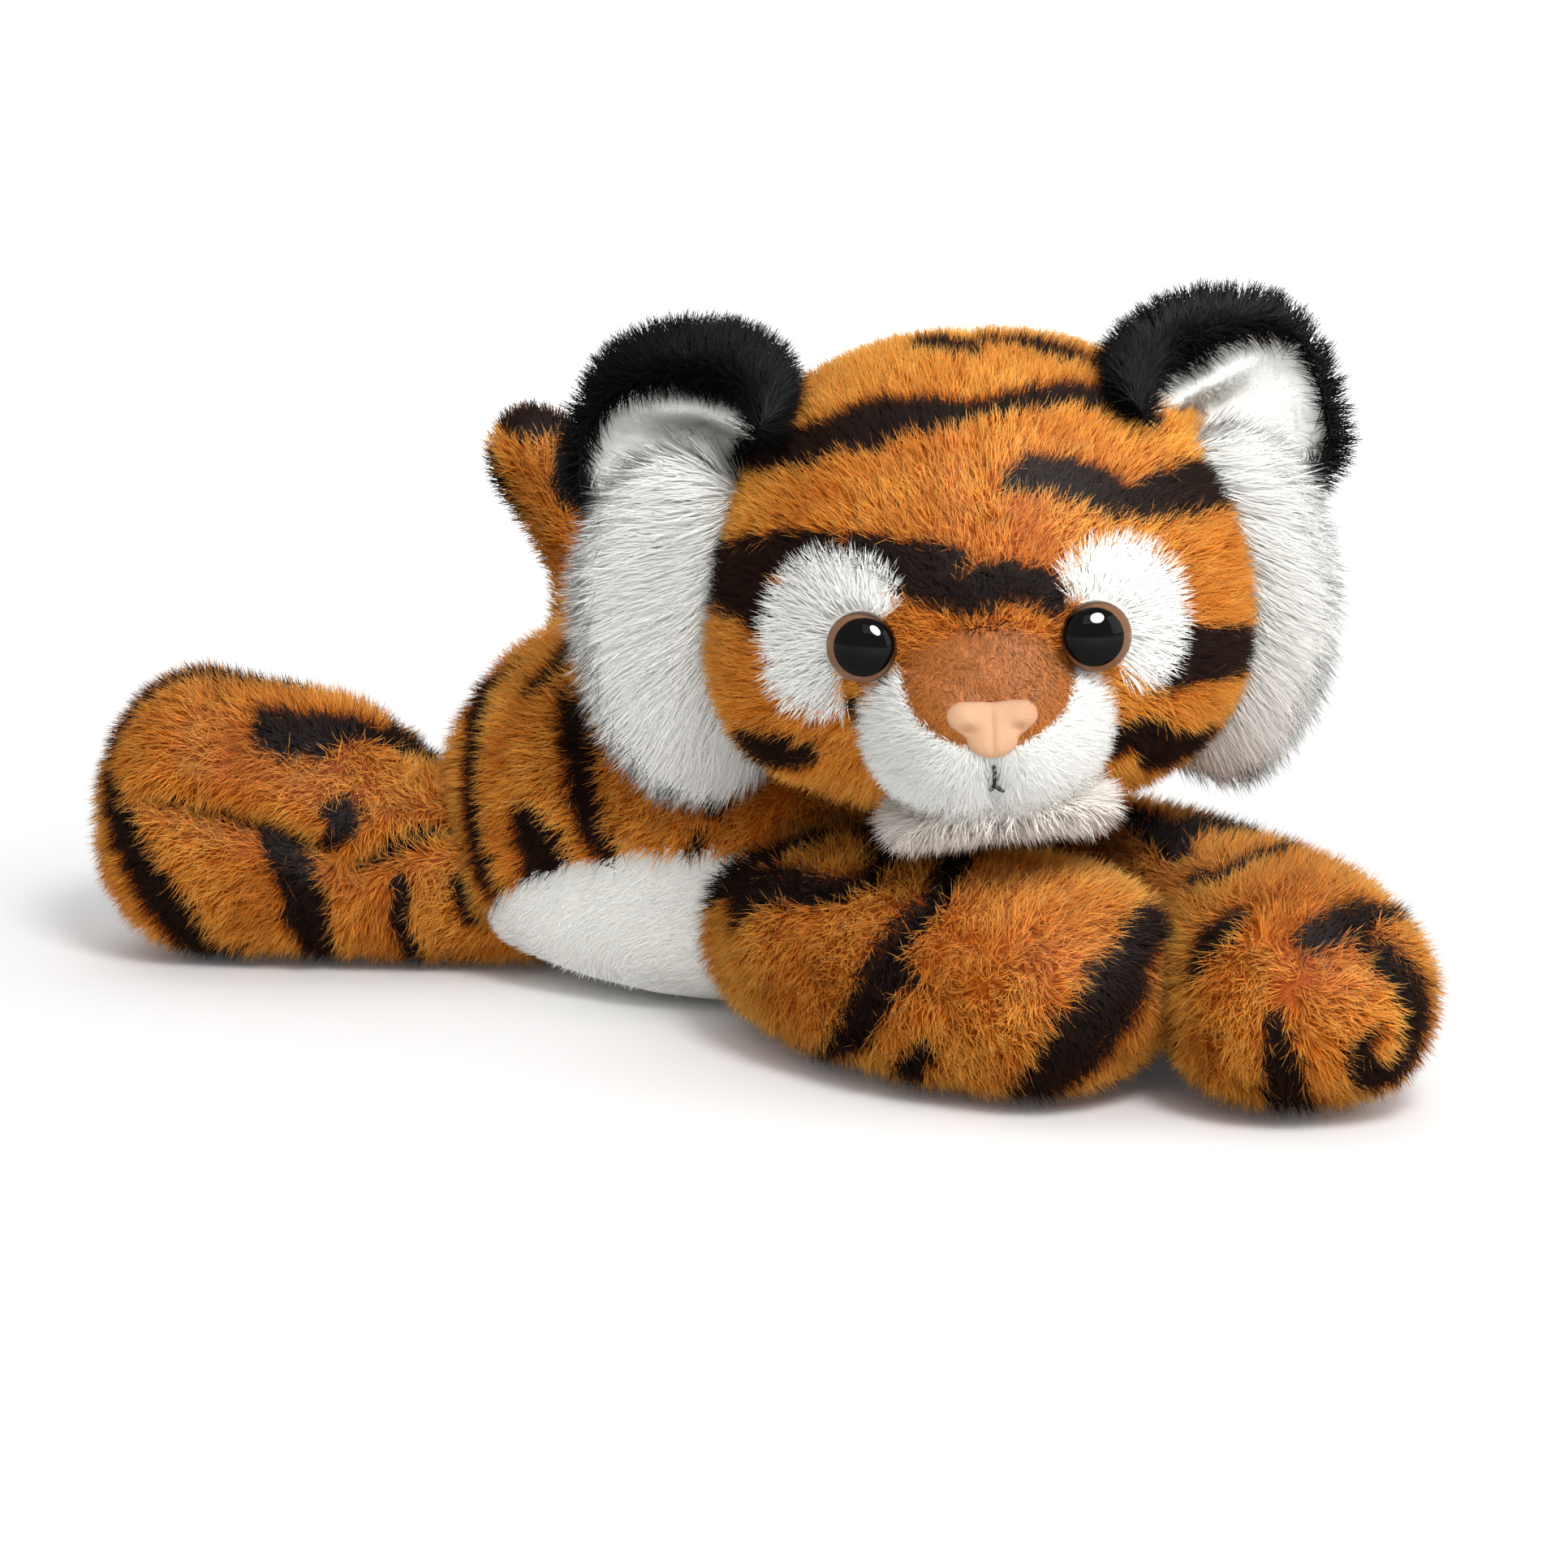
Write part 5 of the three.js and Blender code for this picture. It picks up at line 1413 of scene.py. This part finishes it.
def safety_eye(name):
    """Polished acrylic over a brown disc and a black pupil: a hard gloss."""
    material, tree, shader = new_material(name, Roughness=0.03, IOR=1.49, Specular_IOR_Level=0.11)
    radius = add_node(tree, "ShaderNodeAttribute", attribute_name="radius").outputs["Fac"]
    pupil = add_node(tree, "ShaderNodeAttribute", attribute_name="pupil").outputs["Fac"]
    place = add_node(tree, "ShaderNodeTexCoord").outputs["Object"]
    cloud_size = {"Vector": place, "Scale": 1 / (1.2 * MM), "Detail": 2.0}
    cloud = add_node(tree, "ShaderNodeTexNoise", cloud_size).outputs[0]
    pupil_edge = {"Value": pupil, 1: PUPIL_SHOWN - 0.1, 2: PUPIL_SHOWN + 0.1}
    ring = add_node(tree, "ShaderNodeMapRange", pupil_edge).outputs[0]
    edge = add_node(tree, "ShaderNodeMapRange", {"Value": radius, 1: 6.5, 2: 6.95}).outputs[0]
    fleck = add_node(tree, "ShaderNodeMapRange", {"Value": cloud, 1: 0.3, 2: 0.7, 4: 0.2}).outputs[0]
    brown = add_node(tree, "ShaderNodeMix", {0: fleck, 6: linear(IRIS_RING), 7: linear(IRIS_EDGE)},
        data_type="RGBA")
    rimmed = add_node(tree, "ShaderNodeMix", {0: edge, 6: brown.outputs[2], 7: linear(IRIS_EDGE)},
        data_type="RGBA")
    shown = add_node(tree, "ShaderNodeMix", {0: ring, 6: linear(PUPIL_BLACK), 7: rimmed.outputs[2]},
        data_type="RGBA")
    tree.links.new(shown.outputs[2], shader.inputs["Base Color"])
    return material


def moulded(name, colour, roughness):
    """Injection-moulded plastic: an even colour with the faintest cloud, and a fine orange-peel surface."""
    material, tree, shader = new_material(name, Roughness=roughness)
    place = add_node(tree, "ShaderNodeTexCoord").outputs["Object"]
    cloud_size = {"Vector": place, "Scale": 1 / (2 * MM), "Detail": 2.0}
    cloud = add_node(tree, "ShaderNodeTexNoise", cloud_size).outputs[0]
    darker = tuple(0.85 * part for part in linear(colour)[:3]) + (1.0,)
    shown = add_node(tree, "ShaderNodeMix", {0: cloud, 6: linear(colour), 7: darker}, data_type="RGBA")
    tree.links.new(shown.outputs[2], shader.inputs["Base Color"])
    raised = add_node(tree, "ShaderNodeBump", {"Height": cloud, "Strength": 0.1, "Distance": 0.05 * MM})
    tree.links.new(raised.outputs[0], shader.inputs["Normal"])
    return material


eye_gloss = safety_eye("polished acrylic eye")
brown_plastic = moulded("brown moulded plastic", "#5d3a24", roughness=0.25)
white_plastic = moulded("white moulded plastic", "#e8e8e6", roughness=0.5)
for side, name in ((-1, "right"), (1, "left")):
    rings, inner, outer, radius, pupil = eye_dome(side, rows=48, columns=96)
    eye = closed_skin(f"eye_dome_solid_{name}", rings, inner, outer)
    give(eye, radius=radius, pupil=pupil)
    dress(eye, eye_gloss, "head", (f"eye_dome_{name}", f"eye_pupil_{name}"))
    for node, finish in ((f"eye_iris_{name}", brown_plastic), (f"eye_washer_{name}", white_plastic)):
        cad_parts[node].data.materials.clear()
        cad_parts[node].data.materials.append(finish)

# The studio: a white table that runs into a white background, a soft box above the camera's
# right, large weaker lamps on the left, on the right and overhead, and a round one beside the
# soft box that the eyes' gloss catches.
FLOOR_SIZE = 8.0
FLOOR_LEVEL = -0.05 * MM
LAMPS = {  # place in metres, width in metres and watts
    "key": ((-0.38, -0.98, 1.06), 0.36, 11.3),
    "left": ((-1.1, -1.2, 1.5), 1.0, 6.0),
    "right": ((0.7, -1.3, 0.6), 1.0, 8.0),
    "top": ((0.1, 0.5, 1.8), 1.4, 6.0),
}
CATCH_LIGHT = ((-0.30, -1.03, 0.98), 0.72, 160.0)  # only glosses show it
half = FLOOR_SIZE / 2
corners = [(-half, -half), (half, -half), (half, half), (-half, half)]
floor = mesh_object(
    "table", np.array([(x, y, FLOOR_LEVEL) for x, y in corners]), np.arange(4), np.array([4]))
material, tree, shader = new_material("white paper sweep", Roughness=0.9)
shader.inputs["Base Color"].default_value = linear("#e2e2e2")


def plainly_seen(tree):
    """1 for what is seen straight, in a gloss or through glass, and 0 for the light on the object."""
    path = add_node(tree, "ShaderNodeLightPath").outputs
    straight = add_node(
        tree, "ShaderNodeMath", {0: path["Is Camera Ray"], 1: path["Is Glossy Ray"]},
        operation="MAXIMUM").outputs[0]
    return add_node(
        tree, "ShaderNodeMath", {0: straight, 1: path["Is Transmission Ray"]}, operation="MAXIMUM").outputs[0]


shader.inputs["Emission Color"].default_value = (1, 1, 1, 1)
place = add_node(tree, "ShaderNodeTexCoord").outputs["Object"]
away = add_node(tree, "ShaderNodeVectorMath", {0: place}, operation="LENGTH").outputs["Value"]
glow = add_node(tree, "ShaderNodeMapRange", {"Value": away, 1: 0.2, 2: 0.9, 3: 0.03, 4: 1.0}).outputs[0]
lit = add_node(tree, "ShaderNodeMath", {0: plainly_seen(tree), 1: glow}, operation="MULTIPLY").outputs[0]
tree.links.new(lit, shader.inputs["Emission Strength"])
floor.data.materials.append(material)
floor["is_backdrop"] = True

world = bpy.data.worlds.new("studio")
world.use_nodes = True
bpy.context.scene.world = world
tree = world.node_tree
background = tree.nodes["Background"]
strength = add_node(tree, "ShaderNodeMapRange", {"Value": plainly_seen(tree), 3: 0.6, 4: 1.0}).outputs[0]
tree.links.new(strength, background.inputs["Strength"])
background.inputs["Color"].default_value = (1, 1, 1, 1)
for name, (spot, size, watts) in {**LAMPS, "catch_light": CATCH_LIGHT}.items():
    lamp = bpy.data.lights.new(name, "AREA")
    lamp.size = size
    lamp.energy = watts
    holder = bpy.data.objects.new(name, lamp)
    if name == "catch_light":
        lamp.shape = "DISK"
        holder.visible_diffuse = False
    holder.location = spot
    holder.rotation_euler = (Vector(VIEW_TARGET) - Vector(spot)).to_track_quat("-Z", "Y").to_euler()
    bpy.context.scene.collection.objects.link(holder)
    holder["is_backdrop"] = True
bpy.context.scene.view_settings.view_transform = "Standard"

sizes = {"cad": [list(corner) for corner in cad_box], "visual": [list(corner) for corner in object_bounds()]}
